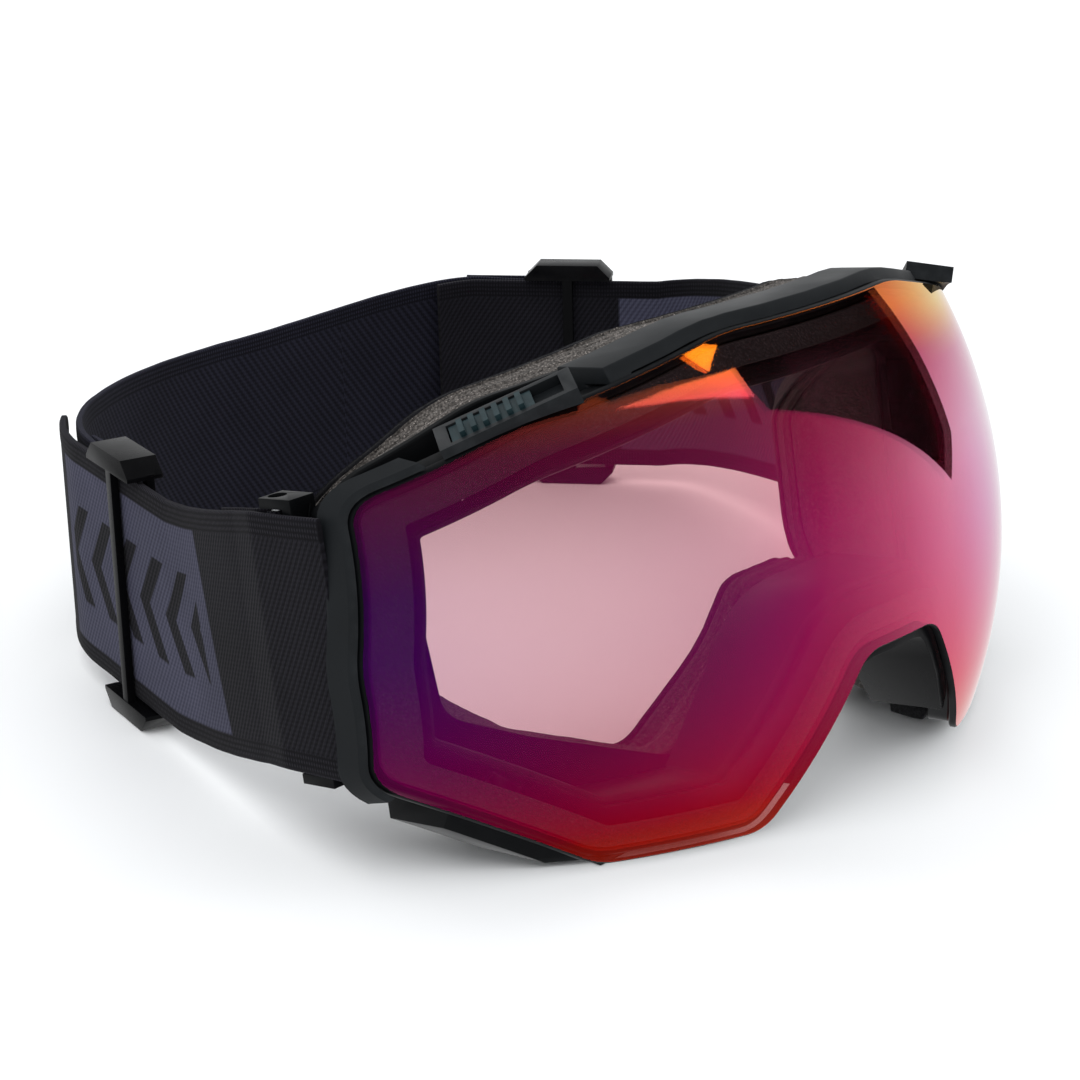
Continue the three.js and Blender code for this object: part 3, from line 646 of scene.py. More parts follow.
def outline(half, offset=0.0, counts=None):
    """Points (x, z) round an outline, with its corners filleted."""
    counts = counts or side_counts(half)
    corners = offset_corners(mirrored(half), offset)
    total = len(corners)
    fillets = []
    for i, (x, z, radius) in enumerate(corners):
        here = Vector((x, z))
        before = Vector(corners[i - 1][:2]) - here
        after = Vector(corners[(i + 1) % total][:2]) - here
        angle = before.angle(after)
        reach = min(radius / math.tan(angle / 2), 0.45 * min(before.length, after.length))
        start = here + before.normalized() * reach
        end = here + after.normalized() * reach
        fillets.append([start.lerp(here, t).lerp(here.lerp(end, t), t)
                        for t in np.linspace(0, 1, FILLET_STEPS)])
    points = []
    for i, fillet in enumerate(fillets):
        points += fillet
        start, end = fillet[-1], fillets[(i + 1) % total][0]
        points += [start.lerp(end, t) for t in np.linspace(0, 1, counts[i] + 1)[1:-1]]
    return [(p.x, p.y) for p in points]


def on_sphere(radius):
    """The y of a sphere about the lens sphere's centre."""
    return lambda x, z: -math.sqrt(max(radius ** 2 - x * x - z * z, 0))


def on_drum(curve):
    """The y of an upright drum with this plan radius and centre."""
    radius, centre = curve
    return lambda x, z: centre - math.sqrt(max(radius ** 2 - x * x, 0))


def lofted(rings, closed=True, close_ends=False):
    """Vertices and quads of a skin through rings with the same number of points."""
    size = len(rings[0])
    verts = [p for ring in rings for p in ring]
    faces = []
    last = len(rings) if closed else len(rings) - 1
    for i in range(last):
        a, b = i * size, (i + 1) % len(rings) * size
        for k in range(size):
            n = (k + 1) % size
            faces.append((a + k, a + n, b + n, b + k))
    if close_ends:
        faces.append(tuple(range(size)))
        faces.append(tuple(reversed(range((len(rings) - 1) * size, len(rings) * size))))
    return verts, faces


def ring_of(points, depth, back=0.0):
    """Outline points (x, z) laid on a surface, or behind it."""
    return [(x, depth(x, z) + back, z) for x, z in points]


GRID = 3.0  # side of the lens's triangles
ROW = 0.87  # their height as a share of it


def patch(points):
    """Triangles that fill an outline, with an even grid inside it."""
    rim = [Vector(p) for p in points]
    xs, zs = [p.x for p in rim], [p.y for p in rim]
    polygon = np.array(points)
    inner = []
    rows = int((max(zs) - min(zs)) / (GRID * ROW)) + 1
    for j in range(rows):
        z = min(zs) + (j + 0.5) * GRID * ROW
        for i in range(int((max(xs) - min(xs)) / GRID) + 2):
            x = min(xs) + (i + 0.5 * (j % 2)) * GRID
            if inside(polygon, x, z, 0.6 * GRID):
                inner.append(Vector((x, z)))
    edges = [(i, (i + 1) % len(rim)) for i in range(len(rim))]
    verts, _, faces, *_ = delaunay_2d_cdt(rim + inner, edges, [], 1, 1e-5)
    return [(v.x, v.y) for v in verts], [tuple(f) for f in faces]


def inside(polygon, x, z, margin):
    """True if the point is inside the polygon and further than margin from its edge."""
    start = polygon - (x, z)
    edge = np.roll(start, -1, axis=0) - start
    crossing = (start[:, 1] > 0) != (start[:, 1] + edge[:, 1] > 0)
    at = start[:, 0] - edge[:, 0] * start[:, 1] / (edge[:, 1] + 1e-12)
    if np.count_nonzero(crossing & (at > 0)) % 2 == 0:
        return False
    t = np.clip(-(start * edge).sum(1) / (edge ** 2).sum(1), 0, 1)
    return np.linalg.norm(start + t[:, None] * edge, axis=1).min() > margin


# ---- lens
# The film's colours by place partly paint its colour shift with viewing angle, a painted reflection colour; the first
# area, along x, and the corner lie on the wearer's left only.
# The mirror film's colours from the middle of the lens to its sides, as shares of its half
# width, and the areas over them: their axis (0 is x and 1 is z), where they start and are
# full, in millimetres, their share, the power they come on with and their colour.
HALF_LENS = 88
FILM_ACROSS = ((0.0, (0.90, 0.010, 0.24)), (0.2, (0.86, 0.012, 0.26)),
               (0.36, (0.74, 0.02, 0.34)), (0.7, (0.42, 0.006, 0.38)),
               (0.9, (0.27, 0.0, 0.50)), (1.0, (0.25, 0.0, 0.50)))
FILM_AREAS = ((0, 40, 80, 0.7, 1, (0.86, 0.05, 0.16)),
              (1, 2, -36, 1.0, 1.2, (0.80, 0.002, 0.012)),
              (1, -34, -43, 0.5, 1, (0.80, 0.10, 0.01)),
              (1, 12, 34, 0.8, 1, (0.52, 0.012, 0.08)),
              (1, 33, 42, 0.95, 1, (0.95, 0.21, 0.002)))
# The yellow of the upper corner: painted reflection colour.
FILM_CORNER_PAINTED_REFLECTION = (0.80, 0.62, 0.03)
# How much the film reflects and how much the clear coat does, from face on to edge on.
REFLECTED = ((0.0, 0.07), (0.13, 0.11), (0.31, 0.24), (0.43, 0.38), (0.56, 0.62),
             (0.71, 0.82), (0.88, 0.93), (1.0, 0.97))
COATED = ((0.25, 0.0), (0.56, 0.75), (0.9, 1.0))
OUTER_TINT = (0.93, 0.77, 0.76)
INNER_TINT = (0.975, 0.94, 0.95)


def film_color(look, x, z):
    """The mirror film: red in the middle, violet at the sides, orange along the brow. Its colours by place stand
    partly for its colour shift with viewing angle: painted reflection colour over its own tint.
    """
    across = look.levels(look.math("ABSOLUTE", x), 0, HALF_LENS * MM)
    film = look.ramp(across, FILM_ACROSS)
    for axis, start, full, share, power, color in FILM_AREAS:
        area = look.levels((x, z)[axis], start * MM, full * MM, 0, share)
        film = look.mix(look.math("POWER", area, power), film, color)
    # A yellow upper corner on the wearer's left only: painted reflection colour.
    corner = look.product(look.levels(z, 30 * MM, 39 * MM),
                          look.levels(x, 22 * MM, 44 * MM, 0, 0.75))
    film = look.mix(corner, film, FILM_CORNER_PAINTED_REFLECTION)
    cloud = look.levels(look.noise(9, 2), 0.35, 0.65, 0.92, 1.06)
    return look.mix(1.0, film, cloud, "MULTIPLY")


def mirror_lens():
    """A tinted lens with a mirror film under a clear coat. The coat fades out towards the
    brow and below the nose."""
    look = Look("mirror_coated_lens", metallic=1.0, roughness=0.03, coat_roughness=0.02,
                coat_ior=4.0)
    x, _, z = look.axes(look.position)[:3]
    look.link(film_color(look, x, z), "Base Color")
    facing = look.node("LayerWeight", Blend=0.5).outputs["Facing"]
    low = look.levels(z, -28 * MM, 14 * MM, 0.05, 1.0)
    high = look.levels(z, 18 * MM, 36 * MM, 1.0, 0.05)
    coat = look.product(look.product(look.ramp(facing, COATED), low), high)
    look.link(coat, "Coat Weight")
    look.see_through(OUTER_TINT, look.ramp(facing, REFLECTED))
    return look.material


def clear_lens():
    """A clear, slightly hazy lens."""
    look = Look("clear_inner_lens", base_color=(0.10, 0.04, 0.06, 1), roughness=0.05,
                coat_weight=0.3)
    haze = look.levels(look.noise(25, 3), 0.3, 0.7, 0.01, 0.02)
    edge = look.node("LayerWeight", Blend=0.3).outputs["Fresnel"]
    share = look.math("ADD", haze, look.product(edge, 0.25), clamp=True)
    look.see_through(INNER_TINT, share)
    return look.material


EDGE_STRIP = 0.15  # keeps the softened edge from bending the lens's reflections


def lens_solid(name, edge, outside, back, bevel, look, slot):
    """A spherical sheet cut to the lens outline, with a softened, darkened edge."""
    flat = outline(LENS_OUTLINE, edge - bevel - EDGE_STRIP)
    rim = outline(LENS_OUTLINE, edge - bevel)
    full = outline(LENS_OUTLINE, edge)
    points, triangles = patch(flat)
    count = len(points)
    front, rear = (ring_of(points, on_sphere(radius)) for radius in (outside, back))
    faces = list(triangles) + [tuple(count + i for i in reversed(t)) for t in triangles]
    rings = [ring_of(line, on_sphere(radius)) for line, radius in (
        (flat, outside), (rim, outside), (full, outside - bevel), (full, back + bevel),
        (rim, back), (flat, back))]
    verts, skin = lofted(rings, closed=False)
    faces += [tuple(2 * count + i for i in f) for f in skin]
    obj = new_piece(name, front + rear + verts, faces, look, slot, body="lens")
    obj.data.materials.append(LOOKS["rim"])
    edge_start = 2 * len(triangles) + len(rim)
    for polygon in obj.data.polygons:
        if edge_start <= polygon.index < edge_start + 3 * len(rim):
            polygon.material_index = 1
    return obj


def ring_piece(name, stations, front, back, look, slot, body="frame", smooth=40):
    """A ring with this section round the lens outline, between two surfaces."""
    rings = []
    for offset, surface, depth in stations:
        face, way = (front, 1) if surface == "f" else (back, -1)
        rings.append(ring_of(outline(LENS_OUTLINE, offset), face, way * depth))
    verts, faces = lofted(rings)
    return new_piece(name, verts, faces, look, slot, body, smooth=smooth)


# A ring's section is stations (offset, surface, depth): surface is "f" or "b", and depth is
# how far back from the front or forward from the back.
GASKET_SECTION = [(-3.1, "f", 0), (-2.82, "f", 0.12), (-2.7, "f", 0.4), (-2.7, "b", 0.4),
                  (-2.82, "b", 0.12), (-3.1, "b", 0), (-6.2, "b", 0), (-6.48, "b", 0.12),
                  (-6.6, "b", 0.4), (-6.6, "f", 0.4), (-6.48, "f", 0.12), (-6.2, "f", 0)]
# The rim's L section: a flange behind the lenses and a lip round the inner one.
CARRIER_SECTION = [(-1.4, "f", 0), (-1, "f", 0.4), (-1, "b", 0.4), (-1.4, "b", 0),
                   (-9.6, "b", 0), (-10, "b", 0.4), (-10, "b", 1.2), (-9.6, "b", 1.6),
                   (-2.3, "b", 1.6), (-2.3, "f", 0.3), (-2, "f", 0)]


def add_lens():
    outer = lens_solid("outer_lens_mirrored", 0, LENS_RADIUS, OUTER_BACK, 0.3,
                       "mirror", "mirror_lens")
    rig.replaces(outer, "outer_lens")
    inner = lens_solid("inner_lens_clear", -2.6, INNER_FRONT, INNER_BACK, 0.2,
                       "clear", "clear_lens")
    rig.replaces(inner, "inner_lens")
    gasket = ring_piece("lens_gasket_foam", GASKET_SECTION,
                        on_sphere(CARRIER_FRONT), on_sphere(GASKET_BACK),
                        "vent_foam", "vent_foam", "lens")
    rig.replaces(gasket, "lens_gasket")
    for pane in (outer, inner):
        pane.visible_shadow = pane.visible_diffuse = False
    carrier = ring_piece("lens_carrier_rim", CARRIER_SECTION,
                         on_sphere(CARRIER_FRONT), on_sphere(CARRIER_BACK), "rim",
                         "rim_plastic", "lens")
    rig.replaces(carrier, "lens_carrier")
    for place in ("top_left", "top_right", "bottom_left", "bottom_right"):
        for part, look in (("strike_plate_", "steel"), ("magnet_", "magnet")):
            materials = frame["nodes"][part + place].data.materials
            materials.clear()
            materials.append(LOOKS[look])


# ---- frame
# The frame's moulded section: a lip behind the lens, a step and a stiffening rib.
FRAME_SECTION = [(-4.0, "f", 0), (-3.2, "f", 0.2), (-3.0, "f", 0.8), (-3.0, "b", 3.6),
                 (-3.4, "b", 3.2), (-3.4, "b", 0.9), (-3.9, "b", 0.2), (-4.6, "b", 0),
                 (-10.6, "b", 0), (-11.2, "b", 0.3), (-11.5, "b", 0.9), (-11.5, "f", 1.2),
                 (-11.2, "f", 0.4), (-10.5, "f", 0)]


# CAD nodes on both sides: look, width of the rounded edges and whether they move.
SIDE_PARTS = {"lower_rail_": ("rim", 0.4, False), "lower_foot_": ("rim", 0.3, False),
              "release_housing_": ("frame", 0.3, False),
              "release_slider_": ("teal", 0.25, True),
              "strap_anchor_": ("rim", 0.3, False), "anchor_pin_": ("steel", 0.3, False),
              "strap_adjuster_": ("gloss", 0.45, True),
              "lower_vent_foam_": ("vent_foam", 0.3, False)}


def add_frame():
    ring = ring_piece("frame_moulding", FRAME_SECTION,
                      on_sphere(FRAME_FRONT), on_drum(FLANGE), "frame",
                      "frame_plastic", smooth=32)
    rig.replaces(ring, "frame")
    softened("brow_bar", "frame", 0.5)
    softened("nose_bridge", "gloss", 0.6)
    for side, way in SIDES:
        add_surround(side, way)
        for part, (look, width, moves) in SIDE_PARTS.items():
            softened(part + side, look, width, part + side if moves else "frame")
    softened("brow_vent_foam", "vent_foam", 0.3)


# Stations of the cover's section: (outside the lens outline, back from the lens).
COVER_SECTION = [(0.35, 0.25), (0.7, 0.35), (1.3, 1.2), (1.45, 1.5), (2.2, 5.4), (2.3, 5.8),
                 (2.1, 6.0), (1.8, 5.8), (1.2, 2.7), (0.55, 2.5), (0.35, 2.2)]
COVER_BOTTOM = -22.5
COVER_BESIDE = 60  # the cover starts beyond this x,
COVER_CORNER = (72.4, 25)  # and above this z only beyond this x


def add_surround(side, way):
    """The cover round the lens's side and its upper corner."""
    base = outline(LENS_OUTLINE)
    chosen = [i for i, (x, z) in enumerate(base) if z > COVER_BOTTOM
              and x * way > (COVER_BESIDE if z < COVER_CORNER[1] else COVER_CORNER[0])]
    rings = []
    for offset, depth in COVER_SECTION:
        moved = outline(LENS_OUTLINE, offset)
        rings.append([(moved[i][0], on_sphere(LENS_RADIUS)(*base[i]) + depth, moved[i][1])
                      for i in chosen])
    verts, faces = lofted(list(zip(*rings)), closed=False, close_ends=True)
    piece = new_piece("side_surround_" + side, verts, faces, "frame",
                      "frame_plastic", smooth=14)
    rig.replaces(piece, "side_cover_" + side)


# Angles between faces, in degrees.
FLAT = 0.6
SHARP = 24
SMOOTH = 36


def softened(node, look, width, body="frame"):
    """A CAD node's shape with its sharp edges rounded."""
    mesh = frame["nodes"][node].data.copy()
    build = bmesh.new()
    build.from_mesh(mesh)
    bmesh.ops.remove_doubles(build, verts=build.verts, dist=MERGE)
    bmesh.ops.dissolve_limit(build, angle_limit=math.radians(FLAT), verts=build.verts,
                             edges=build.edges)
    edges = [e for e in build.edges
             if len(e.link_faces) == 2 and e.calc_face_angle(0) > math.radians(SHARP)]
    bmesh.ops.bevel(build, geom=edges, offset=width * MM, offset_type="OFFSET", segments=3,
                    profile=0.5, affect="EDGES", clamp_overlap=True)
    bmesh.ops.remove_doubles(build, verts=build.verts, dist=MERGE)
    write_mesh(build, mesh, SMOOTH)
    mesh.materials.clear()
    mesh.materials.append(LOOKS[look])
    obj = placed(node + "_finished", mesh)
    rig.slot(obj, SLOTS[node])
    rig.ride(obj, body)
    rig.replaces(obj, node)


# ---- face foam
TEMPLE_DEPTH = 17  # how much deeper the foam is beside the temples
NOSE_DEPTH = 7.5  # of the foam over the nose
BEHIND_PLATE = 0.3
# Distances of the layers' sides in front of the face.
BASE_REAR = 5.1
COMFORT_FRONT = 4.9
COMFORT_REAR = 1.2
FLEECE_FRONT = 1.05


def smoothstep(value, low, high):
    t = min(max((value - low) / (high - low), 0.0), 1.0)
    return t * t * (3 - 2 * t)


def plate_back(x, z=0.0):
    """The y of the plate's back."""
    return on_drum(PLATE)(x, z) + PLATE_THICKNESS


def face_depth(x, z):
    """Where the foam meets the face: deeper beside the temples, shallow over the nose."""
    temple = smoothstep(abs(x), 38, 58) * (1 - smoothstep(abs(z + 3), 12, 34))
    nose = (1 - smoothstep(abs(x), 14, 32)) * (1 - smoothstep(z, 4, 24))
    y = on_drum(FACE)(x, z) + TEMPLE_DEPTH * temple
    return y + (plate_back(x) + NOSE_DEPTH - y) * nose


def soft_ring(name, loops, soft, look, slot, bulge, between, rough=0.0, inner_look=None):
    """A ring whose section runs through one point of each loop, with rounded corners. Inside the opening it may take a
    darker look: painted shade on the inner wall."""
    arc = np.linspace(0, 1, 6)
    sections = []
    for k in range(len(loops[0])):
        corners = [Vector(loop[k]) for loop in loops]
        middle = sum(corners, Vector()) / len(corners)
        section = []
        for i, corner in enumerate(corners):
            following = corners[(i + 1) % len(corners)]
            before, after = corners[i - 1] - corner, following - corner
            start = corner + before.normalized() * min(soft, 0.46 * before.length)
            reach = after.normalized() * min(soft, 0.46 * after.length)
            end, stop = corner + reach, following - reach
            section += [start.lerp(corner, t).lerp(corner.lerp(end, t), t) for t in arc]
            for t in np.linspace(0, 1, between + 2)[1:-1]:
                point = end.lerp(stop, t)
                section.append(point + (point - middle).normalized()
                               * bulge * math.sin(math.pi * t))
        for point in section if rough else ():
            lift = noise.noise(point * 0.35) + 0.6 * noise.noise(point * 1.1)
            point += noise.noise_vector(point * 0.9) * rough * (0.5 + abs(lift))
        sections.append(section)
    obj = new_piece(name, *lofted(list(zip(*sections))), look, slot)
    # The faces inside the opening take a darker look: painted shade.
    if inner_look:
        obj.data.materials.append(LOOKS[inner_look])
        first_inside = (len(arc) + between) * 2 + 2
        for polygon in obj.data.polygons:
            if polygon.index // len(sections) >= first_inside:
                polygon.material_index = 1
    return obj


def foam_loops(front, front_depth, rear, rear_depth):
    """The four corners of a foam layer's section, all the way round."""
    counts = side_counts(PLATE_OUTSIDE)
    loops = ((front[0], front_depth), (rear[0], rear_depth),
             (rear[1], rear_depth), (front[1], front_depth))
    return [ring_of(outline(half, 0, counts), depth) for half, depth in loops]


def add_face_foam():
    plate, face = (PLATE_OUTSIDE, PLATE_OPENING), (FACE_OUTSIDE, FACE_OPENING)

    def forward(distance):
        return lambda x, z: face_depth(x, z) - distance

    carrier = soft_ring("foam_carrier_plate",
                        foam_loops(plate, on_drum(PLATE), plate, plate_back), 0.5,
                        "rim", "rim_plastic", 0.0, 4)
    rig.replaces(carrier, "foam_carrier")
    base = soft_ring("face_foam_base",
                     foam_loops(plate, lambda x, z: plate_back(x) + BEHIND_PLATE,
                                face, forward(BASE_REAR)), 2.2,
                     "foam", "face_foam", 0.7, 8, 0.18, "foam_inside")
    comfort = soft_ring("face_foam_comfort",
                        foam_loops(face, forward(COMFORT_FRONT),
                                   face, forward(COMFORT_REAR)), 1.7,
                        "foam", "face_foam", 0.5, 4, 0.18, "foam_inside")
    fleece = soft_ring("face_fleece_layer",
                       foam_loops(face, forward(FLEECE_FRONT), face, face_depth), 0.5,
                       "fleece", "fleece", 0.15, 3, 0.1)
    for piece, node in ((base, "face_foam"), (comfort, "comfort_foam"),
                        (fleece, "face_fleece")):
        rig.replaces(piece, node)
        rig.padded(piece, fill=0.9)


# ---- strap
STRAP_HEIGHT = 46.6 * MM
STRAP = 1.6 * MM
EYE_MIDDLE = 2.1 * MM  # from the pin's axis to the middle of the strap round it
STRAIGHT = 22 * MM  # straight strap to each side of an adjuster's middle
REAR_BAR_INSIDE = 3.3 * MM  # how far the rear strap lies inside the front one
BEAM_SHIFT = -0.75 * MM
BACK_OF_LOOP = Vector((26, 106.8, 23.7)) * MM  # from ORIGIN
CM = 100.0  # strap UVs are in centimetres


class Adjuster:
    """An adjuster's own frame: s runs along the strap to the rear, and n to the side where
    the rear strap lies."""

    def __init__(self, name):
        low, high = (Vector(c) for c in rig.box("strap_adjuster_" + name))
        self.along = Vector(JOINTS["adjuster_slide_" + name]["axis"])
        self.inward = Vector((self.along.y, -self.along.x, 0))
        self.name = name
        # The beams lie off centre across the strap, because the rear bar is further in.
        self.middle = (low + high) / 2 + self.inward * BEAM_SHIFT

    def at(self, s, n=0.0):
        return self.middle + self.along * s + self.inward * n


def bezier(*handles):
    return [Vector(p) for p in interpolate_bezier(*handles, 61)]


def running_length(points):
    """The length of a path up to each of its points."""
    steps = [(b - a).length for a, b in zip(points, points[1:])]
    return np.concatenate([[0], np.cumsum(steps)])


def resampled(points, step):
    """The same path with even steps."""
    length = running_length(points)
    count = max(2, round(length[-1] / step) + 1)
    at = np.linspace(0, length[-1], count)
    axes = [np.interp(at, length, [p[i] for p in points]) for i in range(3)]
    return [Vector(p) for p in zip(*axes)]


def eased(points):
    """Cuts the corners of a path twice and keeps its ends."""
    for _ in range(2):
        cut = [points[0]]
        for a, b in zip(points, points[1:]):
            cut += [a.lerp(b, 0.25), a.lerp(b, 0.75)]
        points = [*cut, points[-1]]
    return points


def stretch(points, start, end):
    """The part of a path between two running lengths."""
    length = running_length(points)
    return [p for p, at in zip(points, length) if start - 1e-6 <= at <= end + 1e-6]


# Shares of the strap's half height: where the hems and the rounded edges start.
HEM_SHARE = 0.83
EDGE_SHARE = 0.955
ROWS_TO_EDGE = [0.80, HEM_SHARE, 0.87, 0.93, 0.975, 0.996]
ROWS = [*(-v for v in reversed(ROWS_TO_EDGE)), *np.linspace(-0.7, 0.7, 11), *ROWS_TO_EDGE]


def webbing(name, points, look, body="frame", lean=None, thick=None, start=0.0, ends=True):
    """Webbing along a path, with rolled hems, soft edges and a little unevenness.
    thick(length) gives its thickness. UV is length and height in centimetres."""
    length = running_length(points)
    verts, uvs = [], []
    for i, point in enumerate(points):
        tangent = points[min(i + 1, len(points) - 1)] - points[max(i - 1, 0)]
        across = Vector((tangent.y, -tangent.x, 0)).normalized()
        angle = lean(length[i]) if lean else 0.0
        up = Vector((0, math.sin(angle), math.cos(angle))) * STRAP_HEIGHT / 2
        half = (thick(length[i]) if thick else STRAP) / 2
        at = (start + length[i]) * CM
        edge = 1 + 0.004 * noise.noise(Vector((at * 1.3, 3.1, 0)))
        wave = 0.10 * MM * noise.noise(Vector((at * 0.8, 0, 1.7)))
        for way in (1, -1):
            for v in ROWS[::way]:
                near_edge = max((abs(v) - EDGE_SHARE) / (1 - EDGE_SHARE), 0)
                rim = math.sqrt(max(1 - near_edge ** 2, 0))
                hem = 1.0 if abs(v) > HEM_SHARE else 0.90
                out = half * hem * (0.3 + 0.7 * rim) * way
                verts.append(point + up * v * edge + across * (out + wave))
                uvs.append((at, v * STRAP_HEIGHT / 2 * CM))
    size = 2 * len(ROWS)
    rings = [verts[i * size:(i + 1) * size] for i in range(len(points))]
    verts, faces = lofted(rings, closed=False, close_ends=ends)
    obj = new_piece(name, verts, faces, look, "strap_cloth", None, local=False, smooth=50)
    layer = obj.data.uv_layers.new(name="strap")
    for loop in obj.data.loops:
        layer.data[loop.index].uv = uvs[loop.vertex_index]
    if body:
        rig.ride(obj, body)
    return obj


def rear_path(right, left):
    """The rear strap from one adjuster's straight stretch round to the other's."""
    def end(adjuster, s):
        return adjuster.at(s, REAR_BAR_INSIDE)

    def back(x):
        return ORIGIN + BACK_OF_LOOP + Vector((x * MM, 0, 0))

    first = bezier(end(right, STRAIGHT), end(right, STRAIGHT + 26 * MM), back(-36), back(0))
    second = bezier(back(0), back(26), end(left, STRAIGHT + 16 * MM), end(left, STRAIGHT))
    return first, second


def beside(points, offset):
    """A path at one side of another."""
    moved = []
    for a, b in zip(points, points[1:]):
        tangent = (b - a).normalized()
        moved.append(a + Vector((-tangent.y, tangent.x, 0)) * offset)
    return moved


# The front strap runs forward past the pin, under the cover beside the lens: (x, y) from
# the pin. It is thin there, and has its full thickness from a little behind the pin.
LEAD = [(3.9, -14.2), (3.85, -11), (3.7, -7), (3.45, -3), (3.15, 1), (2.75, 5)]
LEAD_BEHIND = 5 * MM  # the part of it behind the pin
BEND_FROM = 13 * MM
THIN_SHARE = 0.62
THICKENING = 16 * MM
# Its folded end goes round the pin and is sewn to its inside.
FOLD_THICK = 0.9 * MM
FOLD_RADIUS = 2.05 * MM
FOLD_INSIDE = 1.75 * MM
FOLD_SPAN = (6 * MM, 22 * MM)


def add_front_strap(name, side, adjuster, handles, tail):
    """A front strap from its pin through its adjuster, on which its tail lies inside."""
    pin = GOGGLE @ (Vector((side * PIN_PLACE[0], *PIN_PLACE[1:])) * MM)
    start = pin + Vector((side * EYE_MIDDLE, 0, 0))
    first, second = (ORIGIN + Vector((x, y, 0)) * MM for x, y in handles)
    first.z = pin.z - 2 * MM
    second.z = adjuster.middle.z + 2 * MM
    bend = bezier(start, first, second, adjuster.at(-STRAIGHT))
    length = running_length(bend)
    lead = [pin + GOGGLE.to_3x3() @ (Vector((side * x, y, 0)) * MM) for x, y in LEAD]
    rest = [p for p, at in zip(bend, length) if at > BEND_FROM]
    straight = [adjuster.at(s) for s in np.linspace(-STRAIGHT, STRAIGHT, 12)]
    points = resampled(eased(lead) + rest[:-1] + straight + tail, 1.0 * MM)
    before = running_length(lead)[-1] - LEAD_BEHIND

    def lean(at):
        return PITCH * min(max(1 - (at - before) / length[-1], 0), 1)

    def thick(at):
        full = smoothstep(at, before, before + THICKENING)
        return STRAP * (THIN_SHARE + (1 - THIN_SHARE) * full)

    strap = webbing("front_strap_webbing_" + name, points, "strap_" + name,
                    lean=lean, thick=thick, start=-before)
    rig.replaces(strap, "front_strap_" + name)
    inside = Vector((side * FOLD_INSIDE, 0, 0))
    fold = [p - inside for p in reversed(stretch(bend, *FOLD_SPAN))]
    for turn in np.linspace(math.radians(185), math.radians(-20), 16):
        out = Vector((side * math.cos(turn), -math.sin(turn), 0))
        fold.append(pin + GOGGLE.to_3x3() @ out * FOLD_RADIUS)
    loop = resampled(fold, 0.8 * MM)
    webbing("front_strap_fold_" + name, loop, "strap_" + name,
            lean=lambda at: PITCH, thick=lambda at: FOLD_THICK)
    rows = [s for s in sewn_row(loop[6], loop[7] - loop[6], PITCH, FOLD_THICK / 2)
            if s[2].x * side < 0]
    sewing("front_strap_stitching_" + name, rows, "thread", "frame")


STITCH_PITCH = 2.3 * MM
STITCH_LENGTH = 1.7 * MM
THREAD_RADIUS = 0.22 * MM


def sewn_row(place, tangent, lean, reach):
    """Stitches up the height of the strap on both of its faces: (middle, along, out)."""
    across = Vector((tangent.y, -tangent.x, 0)).normalized()
    up = Vector((0, math.sin(lean), math.cos(lean)))
    count = int(STRAP_HEIGHT * 0.9 / STITCH_PITCH)
    stitches = []
    for k in range(count):
        v = (k - (count - 1) / 2) * STITCH_PITCH
        for way in (1, -1):
            stitches.append((place + up * v + across * way * reach, up, across * way))
    return stitches


def sewing(name, stitches, look, body):
    """Sewn stitches: each is a short thread that dips into the cloth at both ends."""
    verts, faces = [], []
    for middle, along, out in stitches:
        side = along.cross(out)
        rings = []
        for t in np.linspace(-1, 1, 7):
            dip = 1 - t * t
            centre = middle + along * t * STITCH_LENGTH / 2 + out * (dip * 0.22 - 0.12) * MM
            r = THREAD_RADIUS * (0.55 + 0.45 * dip)
            rings.append([centre + (out * math.cos(a) + side * math.sin(a)) * r
                          for a in np.linspace(0, 2 * math.pi, 7)[:-1]])
        more, skin = lofted(rings, closed=False, close_ends=True)
        faces += [tuple(len(verts) + i for i in f) for f in skin]
        verts += more
    obj = new_piece(name, verts, faces, look, "thread", None, local=False)
    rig.ride(obj, body)


REAR_FOLD_REACH = 40 * MM  # of the part of the rear strap that follows an adjuster
# The fold round an adjuster's rear bar. These are millimetres: along from the adjuster's
# middle and inwards.
BAR_SPAN = 9.2
BAR_INWARD = 3.325
BAR_TURN = 1.425
LAYER_INWARD = BAR_INWARD + BAR_TURN
BAR_LAP = [(12, 1.9), (17, 2.2), (21, 3.1), (24, 3.3)]
BARTACK_ROWS = (17.5, 20.3, 23.5)
JOIN = 3.2 * MM  # the fold meets the strap's path here
REAR_FOLD_THICK = 1.1 * MM


def add_rear_strap(right, left):
    """The rear strap in three pieces: its ends fold round the adjusters' rear bars."""
    first, second = rear_path(right, left)
    whole = resampled(first + second[1:], 1.0 * MM)
    total = running_length(whole)[-1]
    count = len(whole)
    step = total / (count - 1)
    cut = round(REAR_FOLD_REACH / step)
    main = webbing("rear_strap_webbing", whole[cut:count - cut], "strap_rear",
                   start=cut * step, ends=False)
    for adjuster, path in ((right, whole[:cut + 1]), (left, whole[::-1][:cut + 1])):
        add_fold(adjuster, path, total)
    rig.replaces(main, "rear_strap")


